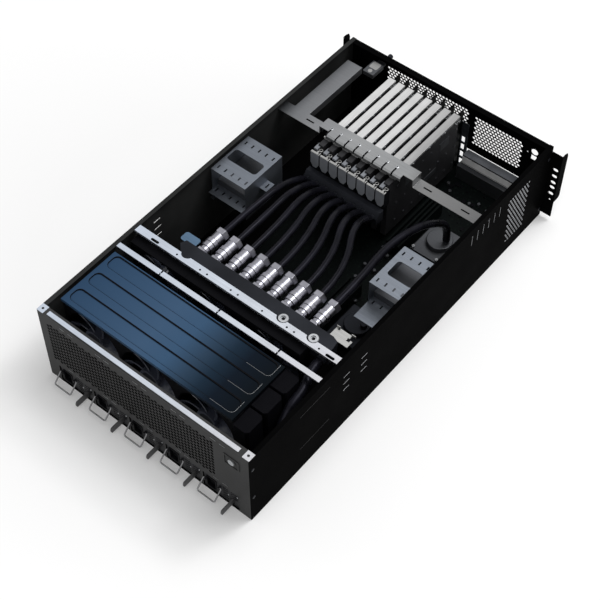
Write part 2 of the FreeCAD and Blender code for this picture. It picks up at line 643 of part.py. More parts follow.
# Second cross bar: a shallow channel over the manifold, notched around the two disc heads
CROSS_NEAR, CROSS_FAR = "block_near - 10", "block_near + 4"
DISCS = ((91.8, "block_near + 7.1"), (152.6, "block_near + 7"))
cross_outline = [
    (CROSS_NEAR, "block_top"), (f"{CROSS_NEAR} + sheet", "block_top"), (f"{CROSS_NEAR} + sheet", LID),
    (f"{CROSS_FAR} - sheet", LID), (f"{CROSS_FAR} - sheet", "block_top"), (CROSS_FAR, "block_top"),
    (CROSS_FAR, "body_height"), (CROSS_NEAR, "body_height"),
]
cross_raw = profile("cross_raw", "YZ", cross_outline, "body_width - 2 * flange_width",
                    "flange_width - body_width / 2", 0, 0)
cross_tools = []
for index, (x, y) in enumerate(DISCS + ((-110.3, "block_near + 8.5"),)):
    cross_tools.append(rod(f"cross_notch_{index}", "11", "8", x, y, "block_top - 1", "z"))
for index, x in enumerate((f"50 - {HALF}", f"{HALF} - 24")):
    cross_tools.append(slot_tool(f"cross_slot_{index}", 5, 17, 6, x, "block_near - 6", "body_height", "xz"))
for index, x in enumerate((-122.5, -72.5, -57.5, -7.3, 7.5, 57.8, 108.2, 122.8, 172.7)):
    cross_tools.append(rod(f"cross_hole_{index}", "1.8", "4", x, "block_near - 4.4", f"{LID} - 1", "z"))
node("manifold_crossbar", cut("manifold_crossbar", cross_raw, cross_tools))

# Coolant manifolds: the long block under the cross bar and the dark port bar at the cards
block = profile("block_raw", "XY", [
    (-118.7, "block_near"), (f"{HALF} - 32.5", "block_near"), (f"{HALF} - 32.5", "block_near + 12"),
    (f"{HALF} - 34.5", "block_far - 4.5"), (f"{HALF} - 46", "block_far"),
    (-133, "block_far"), (-138, "block_near + 20")], "block_thick", 0, 0, "block_low")
PORT_LONG = 9.0
RADIATOR_LINE_X = f"{HALF} - 41.5"
block_port = rod("block_port", "8", PORT_LONG, RADIATOR_LINE_X, f"block_near - {PORT_LONG}",
                 "coupling_axis - 1", "y")
bar_outline = [("port_near", "port_low"), ("port_far", "port_low"), ("port_far", "port_top"),
               ("port_near + 9", "port_top"), ("port_near", "port_top - 11")]
port_bar = profile("port_bar", "YZ", bar_outline, f"{CARDS} * card_pitch", "card_first - card_pitch / 2", 0, 0)
DIVE = math.radians(40)
HOSE_END_Y, HOSE_END_Z = measure("port_near - 8"), measure("port_top - 4")
stubs = []
for index in range(CARDS):
    stub = Part.makeCylinder(5, 14, FreeCAD.Vector(), FreeCAD.Vector(0, math.cos(DIVE), -math.sin(DIVE)))
    x = measure(f"card_first + {index} * card_pitch")
    stubs.append(coded(f"port_stub_{index}", stub, (x, HOSE_END_Y, HOSE_END_Z)))
manifold_parts = [fuse("block_whole", [block, block_port]), fuse("port_bar_whole", [port_bar] + stubs)]
node("coolant_manifolds", group("coolant_manifolds", manifold_parts))

# Quick couplings: hexagonal bodies with a barb, and a locking sleeve that slides on each
BARREL, SLEEVE_RADIUS, SLEEVE_START, SLEEVE_LONG = 9.5, 11.4, 15.7, 19.0
NUT_ACROSS, HEX_ACROSS, COUPLING_LONG = 22.0, 23.0, 61.0
bodies = []
for index in range(COUPLINGS):
    tag = f"coupling_{index + 1}"
    x = f"coupling_first + {index} * coupling_pitch"
    pieces = [
        hexagon(f"{tag}_nut", NUT_ACROSS, 9, x, "block_far", "coupling_axis"),
        rod(f"{tag}_barrel", BARREL, "35", x, "block_far + 5", "coupling_axis", "y"),
        rod(f"{tag}_socket", 10.6, "12", x, "block_far + 35", "coupling_axis", "y"),
        rod(f"{tag}_neck", 8, "6", x, "block_far + 45", "coupling_axis", "y"),
        hexagon(f"{tag}_hex", HEX_ACROSS, 12, x, f"block_far + {COUPLING_LONG - 12}", "coupling_axis"),
    ]
    bodies.append(fuse(f"{tag}_body", pieces))
    start = f"block_far + {SLEEVE_START}"
    bore = rod(f"{tag}_bore", BARREL + 0.3, SLEEVE_LONG + 2, x, f"{start} - 1", "coupling_axis", "y")
    shell = rod(f"{tag}_shell", SLEEVE_RADIUS, SLEEVE_LONG, x, start, "coupling_axis", "y")
    collar = rod(f"{tag}_collar", SLEEVE_RADIUS + 0.7, "3.5", x, f"{start} + 11", "coupling_axis", "y")
    sleeve = cut(f"coupling_sleeve_{index + 1}", fuse(f"{tag}_sleeve_raw", [shell, collar]), [bore])
    node(f"coupling_sleeve_{index + 1}", sleeve)
node("coupling_bodies", group("coupling_bodies", bodies))

# Hoses: straight runs joined by tangent arcs, along the routes they really take
def bend_radii(points):
    """Radius of each bend: 0.45 of the shorter run next to it, over the tangent of half the turn."""
    corners = [FreeCAD.Vector(*point) for point in points]
    radii = []
    for before, corner, after in zip(corners, corners[1:], corners[2:]):
        turn = (corner - before).getAngle(after - corner)
        shorter = min((corner - before).Length, (after - corner).Length)
        radii.append(0.45 * shorter / math.tan(turn / 2))
    return radii


def hose(name, points, radius):
    """One hose as a solid; its bend radii, length and volume match are printed."""
    radii = bend_radii(points)
    solid, route = tube_along(points, radii, radius)
    expected = math.pi * radius ** 2 * route.Length
    rounded = [round(value, 1) for value in radii]
    print(f"{name}: length {route.Length:.1f}, bends {rounded}, volume ratio {solid.Volume / expected:.4f}")
    return coded(name, solid)


THIN_RADIUS, THICK_RADIUS, WIDE_RADIUS = 6.0, 7.0, 8.0
DIVE_RUN = 58.0
thin_hoses = []
for index in range(CARDS):
    start_x = measure(f"coupling_first + {index} * coupling_pitch")
    end_x = measure(f"card_first + {index} * card_pitch")
    axis_z = measure("coupling_axis")
    hose_near = measure("block_far") + COUPLING_LONG
    points = [
        (start_x, hose_near, axis_z),
        (start_x, -24.0, axis_z),
        (end_x, HOSE_END_Y - DIVE_RUN * math.cos(DIVE), HOSE_END_Z + DIVE_RUN * math.sin(DIVE)),
        (end_x, HOSE_END_Y, HOSE_END_Z),
    ]
    thin_hoses.append(hose(f"card_hose_{index + 1}", points, THIN_RADIUS))
node("gpu_hoses", group("gpu_hoses", thin_hoses))

return_x = measure(f"coupling_first + {COUPLINGS - 1} * coupling_pitch")
RETURN_ROUTE = [
    (return_x, measure("block_far") + COUPLING_LONG, measure("coupling_axis")),
    (return_x, -36.0, measure("coupling_axis")), (118.0, 60.0, 150.0), (128.0, 130.0, 144.0),
    (136.0, 180.0, 118.0), (140.0, 218.0, 80.0), (140.0, 218.0, 40.0),
]
line_x, line_y = measure(RADIATOR_LINE_X), measure(f"block_near - {PORT_LONG}")
line_z = measure("coupling_axis - 1")
RADIATOR_ROUTE = [
    (line_x, line_y, line_z), (line_x, -212.0, line_z), (192.0, -244.0, 153.0),
    (194.0, -290.0, 147.0), (PORT_X, PORT_Y, 110.0), (PORT_X, PORT_Y, PORT_TOP),
]
return_hoses = [hose("return_hose", RETURN_ROUTE, THICK_RADIUS),
                hose("radiator_hose", RADIATOR_ROUTE, WIDE_RADIUS)]
node("return_hoses", group("return_hoses", return_hoses))

# Accelerator cards: board, cold plate with a light top strip, slot bracket and hose terminal
BOARD_LOW, PLATE_LOW = 14.0, 30.0
CARD_END = f"{FAR} - 34.9"
STRIP_THICK = 5.0
boards, plates, brackets, terminals = [], [], [], []
for index in range(CARDS):
    x = f"card_first + {index} * card_pitch"
    boards.append(box(f"board_{index}", (f"{x} - 7.6", f"{x} - 6"), ("card_start", f"{FAR} - 2 * sheet"),
                      (BOARD_LOW, "body_height - 25")))
    plate = box(f"plate_{index}_block", (f"{x} - 6", f"{x} + 5"), ("card_start", CARD_END),
                (PLATE_LOW, f"strip_top - {STRIP_THICK}"))
    strip = box(f"plate_{index}_strip", (f"{x} - 7", f"{x} + 7"), ("card_start", CARD_END),
                (f"strip_top - {STRIP_THICK}", "strip_top"))
    plates.append(fuse(f"plate_{index}", [plate, strip]))
    bracket = box(f"bracket_{index}_raw", (f"{x} - 9.2", f"{x} + 9.2"),
                  (f"{FAR} - 2 * sheet", f"{FAR} - sheet"), (8, "body_height - 55"))
    slots = [box(f"bracket_{index}_slot_{slot}", (f"{x} - 3.5", f"{x} + 3.5"),
                 (f"{FAR} - 3 * sheet", FAR), (16 + 19 * slot, 29 + 19 * slot)) for slot in range(4)]
    brackets.append(cut(f"bracket_{index}", bracket, slots))
    terminal = profile(
        f"terminal_{index}_raw", "XZ",
        [(-9, "port_top + 39"), (-9, "port_top + 1"), (-3, "port_top - 5.4"), (3, "port_top - 5.4"),
         (9, "port_top + 1"), (9, "port_top + 39")],
        "card_start - port_far", x, "port_far", 0)
    step = box(f"terminal_{index}_step", (f"{x} - 4", f"{x} + 10"), ("port_far + 7", "port_far + 12"),
               ("port_top + 31", "port_top + 40"))
    terminals.append(cut(f"terminal_{index}", terminal, [step]))
node("gpu_boards", group("gpu_boards", boards))
node("gpu_cold_plates", group("gpu_cold_plates", plates))
node("gpu_slot_brackets", group("gpu_slot_brackets", brackets))
node("gpu_terminals", group("gpu_terminals", terminals))

# Card retainer: raised bar with hooks over the cards, low ends and the side shelf
RAISED_LEFT, RAISED_RIGHT = "card_first - 23.9", f"card_first + {CARDS - 1} * card_pitch + 36.8"
SLIT_WIDE, TONGUE_REACH = 3.0, 9.5
low_face = "shelf_top - sheet"
retainer_outline = [
    (f"-({INNER})", low_face), (f"{RAISED_LEFT} + sheet", low_face), (f"{RAISED_LEFT} + sheet", LID),
    (f"{RAISED_RIGHT} - sheet", LID), (f"{RAISED_RIGHT} - sheet", low_face), (INNER, low_face),
    (INNER, "shelf_top"), (RAISED_RIGHT, "shelf_top"), (RAISED_RIGHT, "body_height"),
    (RAISED_LEFT, "body_height"), (RAISED_LEFT, "shelf_top"), (f"-({INNER})", "shelf_top"),
]
bar = profile("retainer_bar", "XZ", retainer_outline, "bar_depth", 0, "bar_near", 0)
retainer = [bar]
hook_outline = [
    ("bar_near", LID), ("bar_near", "body_height"), (f"bar_near - {TONGUE_REACH - 3}", "body_height"),
    (f"bar_near - {TONGUE_REACH}", "body_height - 3"), (f"bar_near - {TONGUE_REACH}", "strip_top"),
    (f"bar_near - {TONGUE_REACH} + sheet", "strip_top"),
    (f"bar_near - {TONGUE_REACH} + sheet", "body_height - 3.6"),
    (f"bar_near - {TONGUE_REACH - 3.5}", LID),
]
retainer_tools = []
for index in range(CARDS):
    left = f"card_first + {index} * card_pitch - 2.3"
    retainer.append(profile(f"hook_{index}", "YZ", hook_outline, f"card_pitch - {SLIT_WIDE}",
                            f"{left} + {SLIT_WIDE / 2}", 0, 0))
    retainer_tools.append(box(f"slit_{index}", (f"{left} - {SLIT_WIDE / 2}", f"{left} + {SLIT_WIDE / 2}"),
                              ("bar_near - 1", "bar_near + 6"), (f"{LID} - 1", "body_height + 1")))
SHELF = (f"19.5 - {HALF}", f"52.5 - {HALF}")
SHELF_END = f"{FAR} - 39.9"
retainer.append(box("side_shelf", SHELF, ("bar_far", SHELF_END), (low_face, "shelf_top")))
retainer.append(box("shelf_lip", (f"{SHELF[1]} - sheet", SHELF[1]), ("bar_far", SHELF_END),
                    (f"{low_face} - 14", low_face)))
for index, x in enumerate((f"64 - {HALF}", f"{HALF} - 118", f"{HALF} - 40.5")):
    retainer_tools.append(box(f"retainer_slot_{index}", (f"{x} - 8.5", f"{x} + 8.5"),
                              ("bar_near + 11", "bar_near + 14"), (f"{low_face} - 1", "shelf_top + 1")))
node("card_retainer", cut("card_retainer", fuse("retainer_raw", retainer), retainer_tools))

# Drive brackets: two sheet bridges, each with a lower tier that carries a drive
TIER_DROP, LEG_DROP, DRIVE_THICK = 52.0, 80.0, 15.0
SLOT_WIDE, SLOT_LONG = 3.0, 8.0
WIDE_LEFT = (f"6.5 - {HALF}", f"83.5 - {HALF}")
WIDE_RIGHT = (f"{HALF} - 72", f"{HALF} - 6.5")
BRIDGES = (
    {"name": "left", "x": WIDE_LEFT, "near": 405.9, "deep": 99.0, "overhang": 10.0, "side": -1,
     "slots": 5, "rows": (12.0, 84.0), "window": (4.0, 8.0, 35.0, 63.0)},
    {"name": "right", "x": WIDE_RIGHT, "near": 429.9, "deep": 96.0, "overhang": 38.0, "side": 1,
     "slots": 4, "rows": (12.0, 82.0), "window": (11.0, 4.5, 31.0, 66.0)},
)


def tier_tools(name, spot, level, rows, window):
    """Slots and the round-cornered window through one level of a bracket."""
    left, right = spot["x"]
    near = f"{FAR} - {spot['near']}"
    height = (f"{level} - 3", f"{level} + 1")
    tools = []
    for row, offset in enumerate(rows):
        for slot in range(spot["slots"]):
            x = f"{left} + ({right} - ({left})) * {(slot + 0.5) / spot['slots']}"
            y = f"{near} + {offset}"
            tools.append(box(f"{name}_slot_{row}_{slot}", (f"{x} - {SLOT_WIDE / 2}", f"{x} + {SLOT_WIDE / 2}"),
                             (f"{y} - {SLOT_LONG / 2}", f"{y} + {SLOT_LONG / 2}"), height))
    if window:
        from_left, from_right, low, high = window
        tools.append(rounded_tool(f"{name}_window", (f"{left} + {from_left}", f"{right} - {from_right}"),
                                  (f"{near} + {low}", f"{near} + {high}"), height, 6.0))
    return tools


bridges, drives = [], []
for spot in BRIDGES:
    name, side = spot["name"], spot["side"]
    left, right = spot["x"]
    near, far = f"{FAR} - {spot['near']}", f"{FAR} - {spot['near'] - spot['deep']}"
    leg_low, tier_top = f"bridge_top - {LEG_DROP}", f"bridge_top - {TIER_DROP}"
    outline = [
        (left, leg_low), (f"{left} + sheet", leg_low), (f"{left} + sheet", "bridge_top - sheet"),
        (f"{right} - sheet", "bridge_top - sheet"), (f"{right} - sheet", leg_low), (right, leg_low),
        (right, "bridge_top"), (left, "bridge_top"),
    ]
    pieces = [profile(f"bridge_{name}_shell", "XZ", outline, spot["deep"], 0, near, 0)]
    reach = sorted((f"{side} * ({INNER})", left if side < 0 else right), key=measure)
    pieces.append(box(f"bridge_{name}_foot", reach, (near, far), (leg_low, f"{leg_low} + sheet")))
    pieces.append(box(f"bridge_{name}_tier", (left, right), (f"{near} - {spot['overhang']}", far),
                      (f"{tier_top} - sheet", tier_top)))
    tools = tier_tools(f"bridge_{name}_top", spot, "bridge_top", spot["rows"], spot["window"])
    tools += tier_tools(f"bridge_{name}_low", spot, tier_top, (4.0,), None)
    if side < 0:
        pieces.append(box("side_tab", (right, f"{right} + 15"), (f"{near} + 38", f"{near} + 60"),
                          ("bridge_top - 29", "bridge_top - 29 + sheet")))
        tools.append(box("side_tab_slot", (f"{right} + 6", f"{right} + 9"), (f"{near} + 44", f"{near} + 54"),
                         ("bridge_top - 31", "bridge_top - 26")))
    bridges.append(cut(f"bridge_{name}", fuse(f"bridge_{name}_raw", pieces), tools))
    drives.append(box(f"drive_{name}", (f"{left} + sheet", f"{right} - sheet"), (f"{near} + 14", f"{far} - 1"),
                      (tier_top, f"{tier_top} + {DRIVE_THICK}")))
node("drive_brackets", group("drive_brackets", bridges))
node("storage_drives", group("storage_drives", drives))

# Motherboard on standoffs, with a card socket for each card
BOARD_LEFT, BOARD_RIGHT = "card_first - 26.9", f"{INNER} - 4.3"
BOARD_NEAR, BOARD_FAR = f"{FAR} - 465.9", f"{FAR} - 7.9"
board_pieces = [box("main_board", (BOARD_LEFT, BOARD_RIGHT), (BOARD_NEAR, BOARD_FAR),
                    ("board_top - 1.6", "board_top"))]
for column, x in enumerate((f"{BOARD_LEFT} + 8", "60", f"{BOARD_RIGHT} - 8")):
    for row, y in enumerate((f"{BOARD_NEAR} + 10", "card_start + 2", f"{BOARD_FAR} - 13")):
        board_pieces.append(rod(f"standoff_{column}_{row}", "3", "board_top - 1.6 - sheet", x, y, "sheet", "z"))
for index in range(CARDS):
    x = f"card_first + {index} * card_pitch - 6.8"
    board_pieces.append(box(f"card_socket_{index}", (f"{x} - 3.5", f"{x} + 3.5"),
                            ("card_start + 27", "card_start + 167"), ("board_top", BOARD_LOW)))
node("motherboard", fuse("motherboard", board_pieces))

# Processor cold plates, joined by their pump line
COOLER_X, PUMP_X = f"{HALF} - 92.5", f"{HALF} - 79.5"
coolers = []
for index, y in enumerate((f"{FAR} - 425.9", f"{FAR} - 187.9")):
    parts = [
        box(f"cooler_base_{index}", (f"{COOLER_X} - 33", f"{COOLER_X} + 33"), (f"{y} - 42", f"{y} + 34"),
            ("board_top", "board_top + 14.4")),
        rod(f"cooler_cap_{index}", "24", "10", COOLER_X, y, "board_top + 14.4", "z"),
        rod(f"cooler_barb_{index}", "6", "9", PUMP_X, y, "board_top + 23.4", "z"),
    ]
    coolers.append(fuse(f"cooler_{index}", parts))
node("cpu_coolers", group("cpu_coolers", coolers))

# Memory modules on both sides of the processors
STICK_PITCH, STICK_LONG = 8.0, 133.0
sticks = []
for row, y in enumerate((f"{FAR} - 493.9", f"{FAR} - 255.9")):
    for bank, start in enumerate((f"{COOLER_X} - 67", f"{COOLER_X} + 53")):
        for column in range(4):
            x = f"{start} + {STICK_PITCH * column}"
            sticks.append(box(f"memory_{row}_{bank}_{column}", (f"{x} - 2", f"{x} + 2"),
                              (y, f"{y} + {STICK_LONG}"), ("board_top", "board_top + 32.4")))
node("memory_modules", group("memory_modules", sticks))

# Rear connector block in its opening
IO_LEFT, IO_RIGHT, IO_LOW, IO_HIGH = f"{HALF} - 169", f"{HALF} - 10.25", 17.8, 62.25
io = [
    box("io_lower", (f"{IO_LEFT} + 0.3", f"{IO_RIGHT} - 0.3"), (f"{FAR} - 29.9", f"{FAR} - sheet - 0.3"),
        ("board_top", 40)),
    box("io_upper", (f"{IO_LEFT} + 4", f"{IO_RIGHT} - 4"), (f"{FAR} - 19.9", f"{FAR} - sheet - 0.3"), (40, 61)),
]
io_tools = []
for index in range(4):
    x = f"{IO_LEFT} + {22 + 36 * index}"
    io_tools.append(box(f"io_port_{index}", (f"{x} - 8", f"{x} + 8"), (f"{FAR} - 11.9", f"{FAR} + 1"), (24, 36)))
    io_tools.append(box(f"io_port_high_{index}", (f"{x} - 7", f"{x} + 7"), (f"{FAR} - 11.9", f"{FAR} + 1"),
                        (46, 56)))
node("io_ports", cut("io_ports", fuse("io_raw", io), io_tools))

# Ear-end panel
ear_panel_outline = [
    (f"{FAR} - sheet", "sheet"), (FAR, "sheet"), (FAR, LID), (f"{FAR} - 12", LID),
    (f"{FAR} - 12", "body_height - 2 * sheet"), (f"{FAR} - sheet", "body_height - 2 * sheet"),
]
ear_panel_raw = profile("ear_panel_raw", "YZ", ear_panel_outline, f"2 * ({INNER})", f"-({INNER})", 0, 0)
FIELD_TOP = measure("body_height - 22")
FIELD_A = (measure("card_first - 35.9"), measure("card_first + 147.1"))
FIELD_B = (measure("card_first + 160.1"), measure(f"{HALF} - 57.5"))
ear_tools = [
    hexagon_field("far_holes_a", FIELD_A[1] - FIELD_A[0], 30.0, 12.0, 9.5, 6.0,
                  ((FIELD_A[0] + FIELD_A[1]) / 2, measure(FAR) - 3.6, FIELD_TOP - 15)),
    hexagon_field("far_holes_b", FIELD_B[1] - FIELD_B[0], FIELD_TOP - 82, 12.0, 9.5, 6.0,
                  ((FIELD_B[0] + FIELD_B[1]) / 2, measure(FAR) - 3.6, (FIELD_TOP - 5 + 77) / 2)),
    box("io_opening", (IO_LEFT, IO_RIGHT), (f"{FAR} - 3", f"{FAR} + 1"), (IO_LOW, IO_HIGH)),
    rod("round_opening", "7", "4", f"{HALF} - 33.2", f"{FAR} - 3", "body_height - 36", "y"),
    box("square_opening", (f"{HALF} - 38.6", f"{HALF} - 27.6"), (f"{FAR} - 3", f"{FAR} + 1"),
        ("body_height - 55.5", "body_height - 44.5")),
]
for index in range(CARDS):
    x = f"card_first + {index} * card_pitch"
    ear_tools.append(box(f"card_window_{index}", (f"{x} - 7", f"{x} + 7"), (f"{FAR} - 3", f"{FAR} + 1"), (12, 96)))
node("ear_end_panel", cut("ear_end_panel", ear_panel_raw, ear_tools))

# Rack ears: plate with the rack hole pattern and a pull flange with a rounded top
EIA = ("-rack_unit / 2", "-rack_unit / 7", "rack_unit / 7", "rack_unit / 2", "rack_unit * 6 / 7")
PULL_LOW, PULL_REACH = 47.0, 18.0
ears = []
for side, tag in ((-1, "left"), (1, "right")):
    inner = f"{side} * ({HALF})"
    outer = f"{side} * ({HALF} + ear_width)"
    reach = sorted((inner, outer), key=measure)
    plate = box(f"ear_{tag}_plate", reach, (f"{FAR} - sheet", FAR), ("ear_low", "ear_high"))
    pull = profile(f"ear_{tag}_pull", "YZ",
                   [(0, PULL_LOW), (PULL_REACH - 4, PULL_LOW), (PULL_REACH, f"{PULL_LOW} + 4"),
                    (PULL_REACH, "ear_high - 11"), (PULL_REACH - 3, "ear_high - 3"),
                    (PULL_REACH - 11, "ear_high"), (0, "ear_high")],
                   "sheet", f"{outer} - {1 if side > 0 else 0} * sheet", FAR, 0)
    tools = []
    for row, offset in enumerate(EIA):
        tools.append(slot_tool(f"ear_{tag}_slot_{row}", 7, 10, 6, f"{side} * ear_hole", FAR,
                               f"body_height / 2 + {offset}", "xy"))
    tools.append(rod(f"ear_{tag}_hole", "2", "6", f"{side} * ear_hole", f"{FAR} - 3", 50.4, "y"))
    ears.append(cut(f"ear_{tag}", fuse(f"ear_{tag}_raw", [plate, pull]), tools))
node("rack_ears", group("rack_ears", ears))

# Small brackets: two at the manifold ends and the corner latch
plate_level = ("bridge_top - sheet", "bridge_top")
hook_level = ("bridge_top", "bridge_top + 5")
east_edge = "block_far + 23"
small = [
    box("bracket_west", (-150, -118), ("block_far", "block_far + 19"), plate_level),
    fuse("bracket_east", [
        box("bracket_east_plate", (f"{HALF} - 56.5", f"{HALF} - 19.5"), ("block_far", east_edge), plate_level),
        box("bracket_east_hook", (f"{HALF} - 56.5", f"{HALF} - 49.5"), (f"{east_edge} - sheet", east_edge), hook_level),
        box("bracket_east_hook_b", (f"{HALF} - 27.5", f"{HALF} - 19.5"), (f"{east_edge} - sheet", east_edge),
            hook_level),
    ]),
    fuse("corner_latch", [
        box("latch_body", (f"59.5 - {HALF}", f"82.5 - {HALF}"), (f"{FAR} - 47.9", f"{FAR} - 14.9"),
            ("bridge_top - 10", "bridge_top")),
        box("latch_leg", (f"62.5 - {HALF}", f"79.5 - {HALF}"), (f"{FAR} - 14.9", f"{FAR} - sheet"),
            ("bridge_top - 10", "bridge_top - 7")),
    ]),
]
node("small_brackets", group("small_brackets", small))

# Screws: side wall heads, the two disc heads on the manifold and the thumb screw
screws = []
HEADS = ((f"{NEAR} + 7.4", "body_height - 34"), (f"{NEAR} + 7.4", "62.7"),
         ("bar_near + 24.5", "body_height - 19"), (f"{FAR} - 7.9", "body_height - 27"), (f"{FAR} - 7.9", "20"))
for index, (y, z) in enumerate(HEADS):
    for side, tag in ((-1, "left"), (1, "right")):
        x = HALF if side > 0 else f"-({HALF}) - 0.8"
        screws.append(rod(f"screw_{tag}_{index}", "3", "0.8", x, y, z, "x"))
for index, (x, y) in enumerate(DISCS):
    head = rod(f"disc_{index}_head", "8.75", "3.5", x, y, "block_top", "z")
    socket = doc.addObject("Part::Prism", f"disc_{index}_socket")
    socket.Polygon = 6
    bind(socket, "Circumradius", "4")
    bind(socket, "Height", "4")
    place(socket, x, y, "block_top + 1.5")
    screws.append(cut(f"disc_{index}", head, [socket]))
screws.append(rod("thumb_screw", "5", "14", f"78 - {HALF}", FAR, "body_height - 12", "y"))
node("screws", group("screws", screws))

doc.removeObject(PROBE.Name)
doc.recompute()

# Check every object, then write one file for each named piece
for item in doc.Objects:
    if "Invalid" in item.State or "Error" in item.State:
        raise RuntimeError(f"{item.Name} did not build: {item.State}")
    shape = getattr(item, "Shape", None)
    if shape is not None and item.TypeId != "Sketcher::SketchObject" and hasattr(shape, "isNull"):
        if item in NODES and (shape.isNull() or not shape.isValid() or shape.Volume <= 0):
            raise RuntimeError(f"{item.Name} is not a sound solid")

os.makedirs("parts", exist_ok=True)
for made in NODES:
    made.Shape.exportStep(f"parts/{made.Label}.step")
print(f"{len(NODES)} pieces written")
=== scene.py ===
import json
import math
import random

import bmesh
import bpy
from mathutils import Matrix, Vector


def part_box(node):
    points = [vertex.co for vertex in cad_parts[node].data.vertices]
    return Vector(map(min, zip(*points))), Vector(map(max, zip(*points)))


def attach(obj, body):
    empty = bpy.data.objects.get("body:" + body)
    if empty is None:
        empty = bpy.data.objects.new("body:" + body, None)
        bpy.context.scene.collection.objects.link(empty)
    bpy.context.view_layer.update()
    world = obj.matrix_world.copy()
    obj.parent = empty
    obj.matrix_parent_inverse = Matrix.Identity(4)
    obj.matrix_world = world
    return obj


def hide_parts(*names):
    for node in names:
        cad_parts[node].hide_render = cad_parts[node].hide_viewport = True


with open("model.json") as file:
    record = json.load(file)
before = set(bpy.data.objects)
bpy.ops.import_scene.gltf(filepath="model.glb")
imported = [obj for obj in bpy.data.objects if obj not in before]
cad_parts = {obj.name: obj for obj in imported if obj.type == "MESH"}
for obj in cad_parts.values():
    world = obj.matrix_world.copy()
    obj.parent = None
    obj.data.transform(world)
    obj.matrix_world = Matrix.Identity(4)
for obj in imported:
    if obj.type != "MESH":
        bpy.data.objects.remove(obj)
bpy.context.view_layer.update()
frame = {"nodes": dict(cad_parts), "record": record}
random.seed(4)

# Lengths in this script are millimetres; meshes are scaled to metres as they are stored.
MM = 0.001
SHEET = 1.2
SUPPLIES, SUPPLY_PITCH = 5, 78.7
COUPLINGS, COUPLING_FIRST, COUPLING_PITCH, COUPLING_AXIS = 9, -106.5, 29.5, 155.0
CARDS, CARD_FIRST, CARD_PITCH = 8, -101.1, 20.32
FAN_COLUMNS, FAN_AXIS = (-148.0, -28.0, 92.0), 104.5
MESH_PITCH, MESH_HOLE = 7.2, 2.9


def node_box(name):
    """Lowest and highest corner of a CAD node, in millimetres."""
    low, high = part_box(name)
    return low / MM, high / MM


PANEL_LOW, PANEL_HIGH = node_box("psu_end_panel")
FAR_LOW, FAR_HIGH = node_box("ear_end_panel")
WALL_LOW, WALL_HIGH = node_box("right_side_wall")
NEAR_Y, FAR_Y, TOP_Z, SIDE_X = WALL_LOW.y, WALL_HIGH.y, WALL_HIGH.z, WALL_HIGH.x

# Looks


def start_look(name, metallic=0.0, specular=0.5):
    look = bpy.data.materials.new(name)
    look.use_nodes = True
    shader = look.node_tree.nodes["Principled BSDF"]
    shader.inputs["Metallic"].default_value = metallic
    shader.inputs["Specular IOR Level"].default_value = specular
    return look, look.node_tree, shader


def stretched_place(tree, scale=(1, 1, 1)):
    """Object coordinates, stretched by a scale on each axis."""
    place = tree.nodes.new("ShaderNodeTexCoord")
    mapping = tree.nodes.new("ShaderNodeMapping")
    mapping.inputs["Scale"].default_value = scale
    tree.links.new(place.outputs["Object"], mapping.inputs["Vector"])
    return mapping.outputs["Vector"]


def noise(tree, vector, scale, detail):
    made = tree.nodes.new("ShaderNodeTexNoise")
    made.inputs["Scale"].default_value = scale
    made.inputs["Detail"].default_value = detail
    tree.links.new(vector, made.inputs["Vector"])
    return made.outputs["Fac"]


def spread(tree, value, low, high, start=0.3, end=0.7):
    """A value between start and end brought to the range low to high."""
    made = tree.nodes.new("ShaderNodeMapRange")
    for name, number in (("From Min", start), ("From Max", end), ("To Min", low), ("To Max", high)):
        made.inputs[name].default_value = number
    tree.links.new(value, made.inputs["Value"])
    return made.outputs["Result"]


def ramp(tree, value, stops):
    made = tree.nodes.new("ShaderNodeValToRGB")
    points = made.color_ramp.elements
    points[0].position, points[0].color = stops[0][0], (*stops[0][1], 1)
    points[1].position, points[1].color = stops[-1][0], (*stops[-1][1], 1)
    for position, colour in stops[1:-1]:
        points.new(position).color = (*colour, 1)
    tree.links.new(value, made.inputs["Fac"])
    return made.outputs["Color"]


def raise_surface(tree, shader, height, distance):
    bump = tree.nodes.new("ShaderNodeBump")
    bump.inputs["Distance"].default_value = distance
    tree.links.new(height, bump.inputs["Height"])
    tree.links.new(bump.outputs["Normal"], shader.inputs["Normal"])


def cloudy(tree, shader, value, colour, amount, roughness, swing):
    """Colour and roughness that both drift with a value, by a share and by a lower and upper swing."""
    dark, light = (tuple(channel * factor for channel in colour) for factor in (1 - amount, 1 + amount))
    tree.links.new(ramp(tree, value, ((0.3, dark), (0.7, light))), shader.inputs["Base Color"])
    tree.links.new(spread(tree, value, roughness - swing[0], roughness + swing[1]), shader.inputs["Roughness"])


def powder_look(name, colour, roughness=0.45, grain=1400.0, depth=0.00006, metallic=0.0, specular=0.1):
    """Powder coat: fine orange-peel grain and faint cloudy wear."""
    look, tree, shader = start_look(name, metallic, specular)
    even = stretched_place(tree)
    cloudy(tree, shader, noise(tree, even, 14.0, 5.0), colour, 0.25, roughness, (0.07, 0.08))
    raise_surface(tree, shader, noise(tree, even, grain, 2.0), depth)
    return look


def moulded_look(name, colour, roughness=0.4, specular=0.2):
    """Moulded plastic with a light spark-eroded grain."""
    look, tree, shader = start_look(name, specular=specular)
    even = stretched_place(tree)
    cloudy(tree, shader, noise(tree, even, 30.0, 3.0), colour, 0.15, roughness, (0.05, 0.08))
    raise_surface(tree, shader, noise(tree, even, 700.0, 2.0), 0.00004)
    return look


def across_x(tree, stops):
    """A colour that changes along X; each stop is a place in millimetres and a colour."""
    place = tree.nodes.new("ShaderNodeTexCoord")
    apart = tree.nodes.new("ShaderNodeSeparateXYZ")
    tree.links.new(place.outputs["Object"], apart.inputs["Vector"])
    start, end = stops[0][0], stops[-1][0]
    level = spread(tree, apart.outputs["X"], 0.0, 1.0, start * MM, end * MM)
    return ramp(tree, level, [((x - start) / (end - start), colour) for x, colour in stops])


